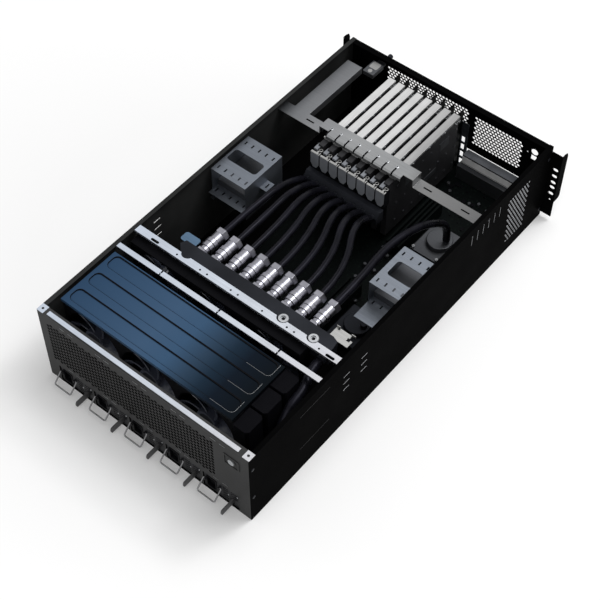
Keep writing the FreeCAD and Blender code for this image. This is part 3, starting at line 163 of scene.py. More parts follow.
def toned(tree, lines, stops):
    """The colour across X, made a little darker by the brush lines."""
    mixed = tree.nodes.new("ShaderNodeMix")
    mixed.data_type = "RGBA"
    mixed.blend_type = "MULTIPLY"
    mixed.inputs[0].default_value = 1.0
    tree.links.new(across_x(tree, stops), mixed.inputs[6])
    tree.links.new(ramp(tree, lines, ((0.3, (0.85, 0.85, 0.85)), (0.7, (1.0, 1.0, 1.0)))), mixed.inputs[7])
    return mixed.outputs[2]


def brushed_look(name, colour, along, roughness=0.3, metallic=1.0, depth=0.00003):
    """Metal brushed along one axis, in one colour, or in stops of colour across X that carry painted light and
    shade.
    """
    look, tree, shader = start_look(name, metallic)
    scale = [900.0, 900.0, 900.0]
    scale["xyz".index(along)] = 18.0
    lines = noise(tree, stretched_place(tree, scale), 1.0, 4.0)
    clouds = noise(tree, stretched_place(tree), 22.0, 4.0)
    if isinstance(colour[0], tuple):
        tree.links.new(toned(tree, lines, colour), shader.inputs["Base Color"])
    else:
        dark, light = (tuple(channel * factor for channel in colour) for factor in (0.9, 1.1))
        tree.links.new(ramp(tree, lines, ((0.3, dark), (0.7, light))), shader.inputs["Base Color"])
    tree.links.new(spread(tree, clouds, roughness - 0.06, roughness + 0.1), shader.inputs["Roughness"])
    raise_surface(tree, shader, lines, depth)
    return look


def lid_painted_reflection_look():
    """Satin dark navy lid with a painted reflection: steel blue on the left, fading to near black on the right.
    """
    look, tree, shader = start_look("lid_navy_painted_reflection", specular=0.03)
    # Painted reflection: the steel blue on the left and its fade to near black across X.
    painted_reflection_fade = across_x(tree, (
        (-208, (0.027, 0.06, 0.116)), (-50, (0.048, 0.094, 0.168)), (0, (0.042, 0.088, 0.16)),
        (40, (0.026, 0.05, 0.086)), (70, (0.011, 0.023, 0.04)), (100, (0.005, 0.009, 0.016)),
        (152, (0.003, 0.005, 0.007))))
    tree.links.new(painted_reflection_fade, shader.inputs["Base Color"])
    even = stretched_place(tree)
    tree.links.new(spread(tree, noise(tree, even, 9.0, 4.0), 0.26, 0.38), shader.inputs["Roughness"])
    raise_surface(tree, shader, noise(tree, even, 1800.0, 2.0), 0.00002)
    return look


def hose_look():
    """Smooth black rubber with a fine cloth print and a violet cast in its shine."""
    look, tree, shader = start_look("hose_rubber", specular=0.09)
    shader.inputs["Specular Tint"].default_value = (0.8, 0.8, 1, 1)
    even = stretched_place(tree)
    clouds = noise(tree, even, 40.0, 4.0)
    tree.links.new(ramp(tree, clouds, ((0.3, (0.003, 0.003, 0.004)), (0.7, (0.006, 0.006, 0.009)))),
                   shader.inputs["Base Color"])
    tree.links.new(spread(tree, clouds, 0.22, 0.34), shader.inputs["Roughness"])
    raise_surface(tree, shader, noise(tree, even, 900.0, 2.0), 0.00004)
    return look


def fin_look():
    """Dark radiator core with close upright fins drawn as bands; the darker bands between the fins are painted
    shade.
    """
    look, tree, shader = start_look("radiator_core", specular=0.04)
    wave = tree.nodes.new("ShaderNodeTexWave")
    wave.bands_direction = "X"
    wave.inputs["Scale"].default_value = 180.0
    tree.links.new(stretched_place(tree), wave.inputs["Vector"])
    fins = wave.outputs["Fac"]
    tree.links.new(ramp(tree, fins, ((0.2, (0.001, 0.001, 0.002)), (0.8, (0.006, 0.006, 0.008)))),
                   shader.inputs["Base Color"])
    tree.links.new(spread(tree, fins, 0.35, 0.6, 0.0, 1.0), shader.inputs["Roughness"])
    raise_surface(tree, shader, fins, 0.0006)
    return look


def board_look():
    """Dark circuit board with faint tracks in the solder mask."""
    look, tree, shader = start_look("circuit_board", specular=0.04)
    cells = tree.nodes.new("ShaderNodeTexVoronoi")
    cells.distance = "MANHATTAN"
    cells.inputs["Scale"].default_value = 160.0
    tree.links.new(stretched_place(tree), cells.inputs["Vector"])
    tracks = cells.outputs["Distance"]
    tree.links.new(ramp(tree, tracks, ((0.1, (0.007, 0.011, 0.009)), (0.5, (0.002, 0.003, 0.003)))),
                   shader.inputs["Base Color"])
    tree.links.new(spread(tree, tracks, 0.3, 0.5, 0.0, 0.7), shader.inputs["Roughness"])
    raise_surface(tree, shader, tracks, 0.00005)
    return look


# Painted light: the top rails lighter and bluer towards the left end.
RAIL_PAINTED_LIGHT = ((-219, (0.5, 0.55, 0.63)), (60, (0.47, 0.5, 0.55)), (219, (0.41, 0.41, 0.43)))
# Painted shade: the retainer darker towards both ends, next to the side walls.
RETAINER_PAINTED_SHADE = ((-218, (0.06, 0.065, 0.07)), (-185, (0.17, 0.175, 0.185)), (-140, (0.22, 0.225, 0.235)),
                  (-60, (0.27, 0.275, 0.28)), (60, (0.24, 0.245, 0.25)), (95, (0.17, 0.17, 0.172)),
                  (218, (0.1, 0.1, 0.102)))
# Painted light: the card strips lighter towards the left, darker towards the right.
STRIP_PAINTED_LIGHT = ((-110, (0.58, 0.58, 0.58)), (-20, (0.55, 0.55, 0.55)), (48, (0.3, 0.3, 0.3)))
LOOKS = {
    "black_sheet": powder_look("black_powder", (0.002, 0.002, 0.0021), 0.5, specular=0.002),
    "grey_sheet": powder_look("grey_powder", (0.04, 0.0402, 0.0405), specular=0.05),
    # Painted light: the left wall is the same black sheet, drawn much lighter for its lit inner face.
    "left_wall_painted_light": powder_look("left_wall_painted_light", (0.028, 0.0285, 0.0285), specular=0.02),
    "bright_rail": brushed_look("bright_rail", RAIL_PAINTED_LIGHT, "x", 0.4),
    "blue_lid": lid_painted_reflection_look(),
    "dark_core": fin_look(),
    "fan_plastic": moulded_look("fan_frame", (0.004, 0.004, 0.005), 0.5, 0.02),
    # Painted light: the rotors lighter and bluer than the frames, for their lit blades.
    "rotor_plastic": moulded_look("fan_rotor", (0.04, 0.045, 0.064), 0.3, 0.4),
    "dark_block": powder_look("anodised_block", (0.016, 0.0175, 0.022), 0.4, 900.0, 0.00003, 0.4),
    "coupling_metal": brushed_look("coupling_chrome", (0.25, 0.25, 0.28), "x", depth=0.00001),
    "hose_rubber": hose_look(),
    "board": board_look(),
    "card_metal": brushed_look("card_strip", STRIP_PAINTED_LIGHT, "y", 0.45, 0.85),
    "card_body": powder_look("card_body", (0.022, 0.022, 0.024), 0.45, 700.0, 0.00005, 0.3, 0.2),
    "zinc_sheet": brushed_look("zinc_sheet", (0.145, 0.16, 0.185), "x", 0.45, 0.9),
    "terminal_grey": moulded_look("terminal_grey", (0.19, 0.2, 0.22)),
    "retainer_metal": brushed_look("retainer_metal", RETAINER_PAINTED_SHADE, "x", 0.45, 0.9),
    "dark_case": powder_look("supply_case", (0.02, 0.02, 0.022), 0.4, 900.0, 0.00003, 0.3),
    "latch_plastic": moulded_look("latch_plastic", (0.085, 0.085, 0.087)),
    "black_plastic": moulded_look("black_plastic", (0.003, 0.003, 0.004), specular=0.05),
    "wire_steel": brushed_look("wire_steel", (0.18, 0.18, 0.185), "x"),
    "pale_metal": brushed_look("pale_metal", (0.36, 0.37, 0.385), "x", 0.35, 0.9),
    "silver_sheet": brushed_look("silver_sheet", (0.3, 0.3, 0.295), "x", 0.42, 0.9),
    "dim_metal": brushed_look("dim_metal", (0.07, 0.073, 0.08), "x", 0.4, 0.8),
    "stud_metal": brushed_look("stud_metal", (0.19, 0.195, 0.2), "y", 0.35, 0.9),
    "blue_steel": brushed_look("blue_steel", (0.085, 0.14, 0.21), "x", 0.4),
    "shell_white_painted_reflection": moulded_look("shell_white_painted_reflection", (0.8, 0.8, 0.8)),
    "gold": brushed_look("contact_gold", (0.6, 0.42, 0.17), "y"),
}
SLOT_OF = {entry["node"]: entry["material_slot"] for entry in frame["record"]["subparts"]}

# Outlines on a plane


def circle(u, v, radius, count):
    return [(u + radius * math.cos(2 * math.pi * index / count),
             v + radius * math.sin(2 * math.pi * index / count)) for index in range(count)]


def rounded(u0, v0, u1, v1, radius=0.0, steps=4):
    """A rectangle, with round corners where a radius is given."""
    if radius == 0:
        return [(u0, v0), (u1, v0), (u1, v1), (u0, v1)]
    loop = []
    for u, v, quarter in ((u1 - radius, v0 + radius, 3), (u1 - radius, v1 - radius, 0),
                          (u0 + radius, v1 - radius, 1), (u0 + radius, v0 + radius, 2)):
        for index in range(steps + 1):
            angle = math.pi / 2 * (quarter + index / steps)
            loop.append((u + radius * math.cos(angle), v + radius * math.sin(angle)))
    return loop


def mesh_holes(u0, v0, u1, v1, pitch=MESH_PITCH, radius=MESH_HOLE, count=8, keep=None):
    """Staggered round holes over a rectangle."""
    holes = []
    rise = pitch * math.sqrt(3) / 2
    rows = int((v1 - v0 - 2 * radius) / rise) + 1
    for row in range(rows):
        v = (v0 + v1) / 2 + (row - (rows - 1) / 2) * rise
        u = u0 + radius + (pitch / 2 if row % 2 else 0)
        while u <= u1 - radius:
            if keep is None or keep(u, v):
                holes.append(circle(u, v, radius, count))
            u += pitch
    return holes


# Solids in a mesh

AXIS_SPOT = {
    "x": lambda along, u, v: (along, u, v),
    "y": lambda along, u, v: (u, along, v),
    "z": lambda along, u, v: (u, v, along),
}
PLANE_AXIS = {"XY": "z", "XZ": "y", "YZ": "x"}
PLANE_TURN = {
    "XY": Matrix.Identity(4),
    "XZ": Matrix(((1, 0, 0, 0), (0, 0, 1, 0), (0, 1, 0, 0), (0, 0, 0, 1))),
    "YZ": Matrix(((0, 0, 1, 0), (1, 0, 0, 0), (0, 1, 0, 0), (0, 0, 0, 1))),
}


def block(bm, low, high):
    corners = [bm.verts.new((x, y, z)) for x in (low[0], high[0]) for y in (low[1], high[1])
               for z in (low[2], high[2])]
    for loop in ((0, 1, 3, 2), (4, 6, 7, 5), (0, 4, 5, 1), (2, 3, 7, 6), (0, 2, 6, 4), (1, 5, 7, 3)):
        bm.faces.new([corners[index] for index in loop])


def skin(bm, rings, looped=False):
    """Four-sided faces from each ring of corners to the next; open ends are capped."""
    following = rings[1:] + rings[:1] if looped else rings[1:]
    for near, far in zip(rings, following):
        for index in range(len(near)):
            after = (index + 1) % len(near)
            bm.faces.new((near[index], near[after], far[after], far[index]))
    if not looped:
        bm.faces.new(rings[0])
        bm.faces.new(list(reversed(rings[-1])))


def outline_ring(bm, axis, along, outline):
    return [bm.verts.new(AXIS_SPOT[axis](along, u, v)) for u, v in outline]


def turned(bm, axis, centre, steps, segments=40):
    """A turned solid: steps are (distance along the axis, radius) from one end to the other."""
    skin(bm, [outline_ring(bm, axis, along, circle(*centre, radius, segments)) for along, radius in steps])


def pipe_ring(bm, axis, centre, steps, bore, segments=40):
    """A turned ring: outside steps, and a bore of one radius through it."""
    profile = [*steps, (steps[-1][0], bore), (steps[0][0], bore)]
    skin(bm, [outline_ring(bm, axis, along, circle(*centre, radius, segments)) for along, radius in profile],
         looped=True)


def extruded(bm, loop, plane, start, length):
    """A prism from an outline on XY, XZ or YZ, grown along the third axis."""
    skin(bm, [outline_ring(bm, PLANE_AXIS[plane], along, loop) for along in (start, start + length)])


def perforated(bm, outer, holes, plane, start, thickness):
    """A flat sheet with holes, filled as a 2D curve."""
    curve = bpy.data.curves.new("sheet_outline", "CURVE")
    curve.dimensions = "2D"
    curve.fill_mode = "BOTH"
    curve.extrude = thickness / 2
    for loop in [outer] + holes:
        spline = curve.splines.new("POLY")
        spline.points.add(len(loop) - 1)
        for point, (u, v) in zip(spline.points, loop):
            point.co = (u, v, 0, 1)
        spline.use_cyclic_u = True
    holder = bpy.data.objects.new("sheet_outline", curve)
    mesh = bpy.data.meshes.new_from_object(holder)
    shift = Matrix.Translation(AXIS_SPOT[PLANE_AXIS[plane]](start + thickness / 2, 0, 0))
    mesh.transform(shift @ PLANE_TURN[plane])
    bm.from_mesh(mesh)
    bpy.data.objects.remove(holder)
    bpy.data.curves.remove(curve)
    bpy.data.meshes.remove(mesh)


def tube(bm, points, radius, bend, sides=20):
    """A round wire through points, with its corners rounded by curves."""
    path = [Vector(points[0])]
    for before, corner, after in zip(points, points[1:], points[2:]):
        corner = Vector(corner)
        back, ahead = Vector(before) - corner, Vector(after) - corner
        reach = min(bend, back.length * 0.45, ahead.length * 0.45)
        start, end = corner + back.normalized() * reach, corner + ahead.normalized() * reach
        for index in range(7):
            t = index / 6
            path.append((1 - t) ** 2 * start + 2 * t * (1 - t) * corner + t * t * end)
    path.append(Vector(points[-1]))
    rings = []
    normal = None
    for index, spot in enumerate(path):
        ahead = path[min(index + 1, len(path) - 1)] - path[max(index - 1, 0)]
        ahead.normalize()
        if normal is None:
            normal = ahead.orthogonal().normalized()
        normal = (normal - ahead * normal.dot(ahead)).normalized()
        side = ahead.cross(normal)
        rings.append([bm.verts.new(spot + (normal * math.cos(2 * math.pi * k / sides)
                                           + side * math.sin(2 * math.pi * k / sides)) * radius)
                      for k in range(sides)])
    skin(bm, rings)


# Pieces of the object

SHARP = math.radians(32)
MERGE_MM, MERGE_M = 0.0005, 1e-6
SAME_PLANE = 0.005


def piece(name, bm, look, body="chassis", bevel=0.0, replaces=(), scale=MM, segments=2):
    """Store a mesh as one piece of the object, with crisp edges and small round-overs."""
    bmesh.ops.remove_doubles(bm, verts=bm.verts, dist=MERGE_MM if scale == MM else MERGE_M)
    bmesh.ops.recalc_face_normals(bm, faces=bm.faces)
    for face in bm.faces:
        face.smooth = True
    for edge in bm.edges:
        edge.smooth = len(edge.link_faces) == 2 and edge.calc_face_angle(math.pi) < SHARP
    bm.transform(Matrix.Scale(scale, 4))
    mesh = bpy.data.meshes.new(name)
    bm.to_mesh(mesh)
    bm.free()
    made = bpy.data.objects.new(name, mesh)
    bpy.context.scene.collection.objects.link(made)
    mesh.materials.append(LOOKS[look])
    if bevel:
        edges = made.modifiers.new("edges", "BEVEL")
        edges.width = bevel * MM
        edges.segments = segments
        edges.limit_method = "ANGLE"
        edges.angle_limit = SHARP
        edges.harden_normals = True
    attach(made, body)
    if replaces:
        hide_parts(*replaces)
    return made


def refine(node, bevel, look=None, body="chassis", segments=2):
    """A CAD node with its edges rounded over a little."""
    bm = bmesh.new()
    bm.from_mesh(frame["nodes"][node].data)
    bmesh.ops.remove_doubles(bm, verts=bm.verts, dist=MERGE_M)
    bmesh.ops.dissolve_limit(bm, angle_limit=SAME_PLANE, verts=bm.verts, edges=bm.edges)
    return piece(f"{node}_dressed", bm, look or SLOT_OF[node], body, bevel, (node,), 1.0, segments)


# Chassis sheets

BUTTON = (184.5, 138.5)
MESH_SHEET = 0.4
SLOT_ROWS, SLOT_OUT = (50.5, 165.5), 9


def supply_end_panel():
    """Thin front with its mesh field, slot pairs and button bezel, and bright strips in the slots."""
    bm, strips = bmesh.new(), bmesh.new()
    left, right, low, high = -206.0, 151.5, 57.0, 159.0
    holes = [[(x, z) for z, x in hole] for hole in mesh_holes(low, left, high, right, 8.1, 3.45)]
    holes.append(circle(*BUTTON, 6.3, 32))
    for z in SLOT_ROWS:
        for pair in range(SUPPLIES):
            for side in (-1, 1):
                x = (pair - 2) * SUPPLY_PITCH + side * SLOT_OUT
                holes.append(rounded(x - 6, z - 1.2, x + 6, z + 1.2, 1.1, 3))
                block(strips, (x - 5.7, NEAR_Y + MESH_SHEET, z - 1.0), (x + 5.7, NEAR_Y + 2, z + 1.0))
    perforated(bm, rounded(PANEL_LOW.x, PANEL_LOW.z, PANEL_HIGH.x, PANEL_HIGH.z), holes, "XZ",
               NEAR_Y, MESH_SHEET)
    block(bm, (PANEL_LOW.x, NEAR_Y + MESH_SHEET, PANEL_HIGH.z - SHEET), tuple(PANEL_HIGH))
    x, z = BUTTON
    perforated(bm, rounded(x - 15.5, z - 13, x + 15.5, z + 13, 2),
               [rounded(x - 13, z - 10.5, x + 13, z + 10.5, 1.5)], "XZ", NEAR_Y - 1.5, 1.5)
    pipe_ring(bm, "y", BUTTON, ((NEAR_Y - 0.8, 9), (NEAR_Y + 8, 9)), 6.3)
    piece("end_panel", bm, "grey_sheet", replaces=("psu_end_panel",))
    piece("end_panel_strips", strips, "pale_metal")


def power_button():
    bm = bmesh.new()
    turned(bm, "y", BUTTON, ((NEAR_Y - 2.0, 4.6), (NEAR_Y - 2.5, 5.2), (NEAR_Y - 2.2, 5.9),
                             (NEAR_Y + 1, 6.0), (NEAR_Y + 1, 2), (NEAR_Y + 3.7, 2)), 48)
    piece("button_cap", bm, "pale_metal", "power_button", replaces=("power_button",))


def far_panel():
    """Ear-end sheet with two mesh fields, the connector opening, card openings and small holes."""
    bm = bmesh.new()
    holes = mesh_holes(-137, 98, 46, 155) + mesh_holes(59, 77, 162, 151)
    holes.append(rounded(50.5, 17.8, 209.25, 62.25))
    holes.append(circle(186.3, 141, 7, 32))
    holes.append(rounded(180.9, 121.5, 191.9, 132.5))
    holes.append(circle(172.5, 134, 1.6, 12))
    for index in range(CARDS):
        x = CARD_FIRST + index * CARD_PITCH
        holes.append(rounded(x - 7, 12, x + 7, 96))
    perforated(bm, rounded(FAR_LOW.x, FAR_LOW.z, FAR_HIGH.x, FAR_HIGH.z), holes, "XZ", FAR_Y - SHEET, SHEET)
    block(bm, (FAR_LOW.x, FAR_LOW.y, FAR_HIGH.z - SHEET), (FAR_HIGH.x, FAR_Y - SHEET, FAR_HIGH.z))
    piece("far_panel", bm, "black_sheet", replaces=("ear_end_panel",))


def right_wall():
    """Side sheet with its vent field, whose near edge slants, louvre slots, and painted highlights in the holes
    and slots.
    """
    bm, seams, edges = bmesh.new(), bmesh.new(), bmesh.new()
    vents = mesh_holes(270, 29, 342, 151, keep=lambda y, z: y > 285 - (z - 37) * 11 / 116)
    slots = []
    inner = SIDE_X - 0.9
    for y, top in ((-173.0, 135.0), (-128.0, 137.0)):
        for row in range(3):
            z = top - 18 * row
            slots.append(rounded(y - 8.5, z - 1.25, y + 8.5, z + 1.25, 1.2))
    lying = len(slots)
    for column in range(6):
        y = FAR_Y - 240.9 + 16.5 * column
        slots.append(rounded(y - 1, 134, y + 1, 160, 0.9))
    outer = [(NEAR_Y, 0), (FAR_Y, 0), (FAR_Y, TOP_Z), (NEAR_Y + 15, TOP_Z), (NEAR_Y + 15, TOP_Z - SHEET),
             (NEAR_Y, TOP_Z - SHEET)]
    perforated(bm, outer, vents + slots, "YZ", SIDE_X - SHEET, SHEET)
    block(bm, (SIDE_X - 8, NEAR_Y + 15, TOP_Z - SHEET), (SIDE_X - SHEET, FAR_Y, TOP_Z))
    piece("right_wall", bm, "black_sheet", replaces=("right_side_wall",))
    for z in (60.0, 151.0):
        block(seams, (SIDE_X - 0.3, -288, z - 0.3), (SIDE_X + 0.15, -215, z + 0.3))
    piece("wall_seams", seams, "dark_case")
    # Painted highlights: pale slivers on the lower rim of each vent hole, along the top edge of each lying slot
    # and one side of each upright slot.
    for hole in vents:
        y, z = (sum(spot[axis] for spot in hole) / len(hole) for axis in (0, 1))
        block(edges, (inner, y - 1.8, z - 2.4), (SIDE_X + 0.05, y + 1.8, z - 0.7))
    for number, slot in enumerate(slots):
        near, far = (pick(y for y, z in slot) for pick in (min, max))
        low, high = (pick(z for y, z in slot) for pick in (min, max))
        if number < lying:
            block(edges, (inner, near + 1, high - 0.9), (SIDE_X + 0.1, far - 1, high + 0.35))
        else:
            middle = (near + far) / 2
            block(edges, (inner, middle - 0.6, low + 1), (SIDE_X + 0.1, middle, high - 1))
    piece("wall_painted_highlights", edges, "pale_metal")


def chassis_sheets():
    supply_end_panel()
    power_button()
    far_panel()
    right_wall()
    # The left wall takes a lighter copy of the black sheet: painted light on its inner face.
    refine("left_side_wall", 0.25, look="left_wall_painted_light")
    refine("rack_ears", 0.35)
    refine("top_rails", 0.3)
    refine("manifold_crossbar", 0.3)
    # The cage's front is grey like the panel, and the rest of it is black
    cage = refine("psu_cage", 0.2)
    cage.data.materials.append(LOOKS["grey_sheet"])
    for face in cage.data.polygons:
        if face.normal.y < -0.7:
            face.material_index = 1


# Radiator, lid and fans


def radiator_lid():
    """The lid, with painted shade along the far side and left end of each channel, and a thin painted highlight
    along each channel's near edge and right end.
    """
    refine("radiator_cover", 0.7, segments=3)
    refine("radiator", 0.6)
    channel_painted_shade, channel_painted_highlights = bmesh.new(), bmesh.new()
    low, high = node_box("radiator_cover")
    left, right = low.x + 7, high.x - 7
    channel_z, highlight_x, highlight_z = 170.0, 100, 171.9
    for near, far in ((-357, -329), (-315, -287), (-272, -243)):
        # Painted shade: a black ring in each channel, widest along its far side and left end.
        perforated(channel_painted_shade, rounded(left, near, right, far, 10, 8),
                   [rounded(left + 1.1, near + 0.6, right - 0.7, far - 1.9, 9, 8)], "XY", channel_z, 1.7)
        # Painted highlight: a thin pale tube along the channel's near edge and right end.
        tube(channel_painted_highlights, [(highlight_x, near, highlight_z), (right, near, highlight_z), (right, far, highlight_z)], 0.35, 10, 8)
    piece("lid_painted_shade", channel_painted_shade, "black_plastic")
    piece("lid_painted_highlights", channel_painted_highlights, "stud_metal")


def fan_hubs():
    """A raised rim and disc on the front of each hub."""
    for index in range(2 * len(FAN_COLUMNS)):
        name = f"fan_rotor_{index + 1}"
        front = node_box(name)[0].y
        bm = bmesh.new()
        turned(bm, "y", (FAN_COLUMNS[index % 3], FAN_AXIS),
               ((front + 1.0, 14.8), (front + 0.2, 14.4), (front + 0.2, 9), (front + 0.8, 8.5)))
        piece(f"fan_hub_{index + 1}", bm, "dark_block", name)
        refine(name, 0.25, body=name)


def fan_corner_posts():
    """Rubber pins in the corners of each frame, flush with its front."""
    bm = bmesh.new()
    out = 52.5
    for y in (-362.0, -205.5):
        for x in FAN_COLUMNS:
            for dx in (-out, out):
                for dz in (-out, out):
                    turned(bm, "y", (x + dx, FAN_AXIS + dz), ((y - 0.4, 2.2), (y + 2, 3.0)), 16)
    piece("fan_pins", bm, "black_plastic")


# Coolant parts


def couplings():
    """Bodies with a chamfered nut, stem, socket and hose nut, each with its sleeve and dark ring."""
    whole = bmesh.new()
    near = node_box("coupling_bodies")[0].y
    sleeve_near = node_box("coupling_sleeve_1")[0].y
    centres = [(COUPLING_FIRST + index * COUPLING_PITCH, COUPLING_AXIS) for index in range(COUPLINGS)]
    for centre in centres:
        for steps, sides in (
                (((0, 11.4), (1.4, 12.65), (7.6, 12.65), (9, 11.4)), 6),
                (((5, 9.5), (35, 9.5)), 40),
                (((35, 9.9), (35.6, 10.6), (49.5, 10.6)), 44),
                (((49, 11.6), (50.6, 13.25), (59.4, 13.25), (61, 11.6)), 6)):
            turned(whole, "y", centre, [(near + along, radius) for along, radius in steps], sides)
    piece("couplings", whole, "coupling_metal", bevel=0.25, replaces=("coupling_bodies",))
    for number, centre in enumerate(centres, start=1):
        sleeve, seal = bmesh.new(), bmesh.new()
        steps = ((0, 10.8), (0.6, 11.4), (10.2, 11.4), (10.6, 12.0), (18.4, 12.0), (19, 11.4))
        pipe_ring(sleeve, "y", centre, [(sleeve_near + along, radius) for along, radius in steps], 9.8, 48)
        name = f"coupling_sleeve_{number}"
        piece(f"sleeve_{number}", sleeve, "coupling_metal", name, replaces=(name,))
        pipe_ring(seal, "y", centre, ((sleeve_near + 9.6, 11.5), (sleeve_near + 10.3, 11.5)), 10.6)
        piece(f"sleeve_ring_{number}", seal, "black_plastic", name)


THIN_HOSE, RETURN_HOSE, RADIATOR_HOSE = 12.0, 14.0, 16.0
DIVE, DIVE_RUN = math.radians(40), 58.0
HOSE_START_Y, HOSE_END_Y, HOSE_END_Z = -88.0, 118.0, 116.0
RETURN_ROUTE = [
    (129.5, HOSE_START_Y, COUPLING_AXIS), (129.5, -36.0, COUPLING_AXIS), (118.0, 60.0, 150.0),
    (128.0, 130.0, 144.0), (136.0, 180.0, 118.0), (140.0, 218.0, 80.0), (140.0, 218.0, 40.0),
]
RADIATOR_ROUTE = [
    (178.0, -189.0, 154.0), (178.0, -212.0, 154.0), (192.0, -244.0, 153.0),
    (194.0, -290.0, 147.0), (202.0, -322.0, 110.0), (202.0, -322.0, 60.0),
]


def card_hose_points(index):
    start = COUPLING_FIRST + index * COUPLING_PITCH
    end = CARD_FIRST + index * CARD_PITCH
    return [
        (start, HOSE_START_Y, COUPLING_AXIS), (start, -24.0, COUPLING_AXIS),
        (end, HOSE_END_Y - DIVE_RUN * math.cos(DIVE), HOSE_END_Z + DIVE_RUN * math.sin(DIVE)),
        (end, HOSE_END_Y, HOSE_END_Z),
    ]


def hose(name, points, diameter, replaces):
    """A hose as a curve along its route."""
    curve = bpy.data.curves.new(name, "CURVE")
    curve.dimensions = "3D"
    curve.bevel_depth = diameter / 2 * MM
    curve.bevel_resolution = 8
    curve.use_fill_caps = True
    curve.resolution_u = 16
    spline = curve.splines.new("NURBS")
    spline.points.add(len(points) - 1)
    for point, spot in zip(spline.points, points):
        point.co = (*(number * MM for number in spot), 1)
    spline.order_u = 3
    spline.use_endpoint_u = True
    curve.materials.append(LOOKS["hose_rubber"])
    made = bpy.data.objects.new(name, curve)
    bpy.context.scene.collection.objects.link(made)
    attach(made, "chassis")
    if replaces:
        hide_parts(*replaces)
    return made


def hoses():
    """All hoses, each a curve along its route."""
    routes = [(f"card_hose_{index + 1}", card_hose_points(index), THIN_HOSE, "limp") for index in range(CARDS)]
    routes.append(("return_hose", RETURN_ROUTE, RETURN_HOSE, "medium"))
    routes.append(("radiator_hose", RADIATOR_ROUTE, RADIATOR_HOSE, "medium"))
    stands_for = {"card_hose_1": ("gpu_hoses",), "return_hose": ("return_hoses",)}
    for name, points, diameter, stiffness in routes:
        made = hose(name, points, diameter, stands_for.get(name, ()))


def manifold():
    """The long block, with two round plug heads and a black six-sided mark in each, painted shade for its socket.
    """
    refine("coolant_manifolds", 0.8)
    heads, sockets = bmesh.new(), bmesh.new()
    for centre in ((91.8, -172.9), (152.6, -173.0)):
        turned(heads, "z", centre, ((172.0, 8.75), (174.7, 8.75), (175.5, 8.1), (175.5, 4.6), (173.3, 4.2)), 48)
        # Painted shade: a thin black hexagon at the bottom of each head's recess.
        turned(sockets, "z", centre, ((173.35, 3.2), (173.6, 3.2)), 6)
    piece("disc_heads", heads, "pale_metal")
    piece("disc_socket_painted_shade", sockets, "black_plastic")


# Cards


def card_strips():
    """Cards: dark body, light strip along the top and small clips in the gaps between them."""
    low, high = node_box("gpu_cold_plates")
    near, far, top = low.y, high.y, high.z
    bar = node_box("card_retainer")[0].y + 1.5
    strips, bodies, clips, dashes, studs = (bmesh.new() for _ in range(5))
    for index in range(CARDS):
        x = CARD_FIRST + index * CARD_PITCH
        block(strips, (x - 7, bar, top - 5), (x + 7, far, top))
        block(bodies, (x - 6, near + 0.3, low.z), (x + 5, far - 0.3, top - 4.5))
        for y in (228, 276, 322):
            block(dashes, (x + 7, y - 10, top - 3.5), (x + 8.4, y + 10, top - 1.2))
            block(clips, (x + 7, y - 1.4, top - 4.0), (x + 9.6, y + 1.4, top - 0.8))
        for y in (354, 362):
            block(clips, (x + 7, y - 1.0, top - 5.5), (x + 12.0, y + 1.0, top - 3.5))
            turned(clips, "z", (x + 9.8, y + 4), ((top - 7, 1.3), (top - 4, 1.3), (top - 3.4, 0.9)), 14)
    side = CARD_FIRST + (CARDS - 1) * CARD_PITCH + 5
    for y in range(190, 366, 25):
        for z in (52, 96, 140):
            turned(studs, "x", (y, z), ((side, 2.2), (side + 0.8, 2.2), (side + 1.1, 1.6)), 16)
    for y, z, length, height in ((215, 118, 34, 16), (268, 74, 42, 12), (318, 120, 26, 20)):
        block(studs, (side, y, z), (side + 0.5, y + length, z + height))
    piece("card_strip", strips, "card_metal", bevel=0.35, replaces=("gpu_cold_plates",))
    piece("card_bodies", bodies, "card_body", bevel=0.5)
    piece("card_studs", studs, "dim_metal")
    piece("strip_dashes", dashes, "dim_metal")
    piece("strip_clips", clips, "stud_metal", bevel=0.15)


def terminals():
    """Hose terminals: dark block, a grey six-sided front plate, bright clips and a screw ring on top, and a black
    plug in the ring's bore as painted shade.
    """
    low, high = node_box("gpu_terminals")
    near, far, top = low.y, high.y, high.z
    bodies, plates, clips = bmesh.new(), bmesh.new(), bmesh.new()
    for index in range(CARDS):
        x = CARD_FIRST + index * CARD_PITCH
        loop, rim = ([(x - half, peak), (x - half, bend), (x - foot, base), (x + foot, base), (x + half, bend),
                      (x + half, peak)] for half, peak, bend, foot, base in (
                          (8.6, top - 3, 121, 3.2, 114.8), (9.0, top - 1, 133, 3.8, 123.5)))
        extruded(bodies, loop, "XZ", near + 1.0, far - near - 1.2)
        extruded(plates, rim, "XZ", near - 0.1, 1.2)
        block(plates, (x - 8.9, near + 9.5, top - 4), (x - 1.4, far + 6, top + 1))
        block(clips, (x - 9.0, near + 0.2, top - 3), (x + 6.0, near + 4.6, top))
        block(clips, (x + 1.2, near + 4, top - 3), (x + 4.2, near + 9, top))
        block(clips, (x + 6.9, near + 0.2, top - 3), (x + 9.0, near + 7.0, top - 0.5))
        screw = (x + 4.4, near + 13.0)
        pipe_ring(clips, "z", screw, ((top - 4, 3.7), (top - 1, 3.7), (top - 0.4, 3.2)), 2.4, 28)
        # Painted shade: the black plug that fills the screw ring's bore.
        turned(bodies, "z", screw, ((top - 4, 2.4), (top - 1.6, 2.4)), 24)
    piece("terminal_blocks", bodies, "black_plastic", bevel=0.4, replaces=("gpu_terminals",))
    piece("terminal_plates", plates, "terminal_grey", bevel=0.3)
    piece("terminal_clips", clips, "silver_sheet", bevel=0.3)


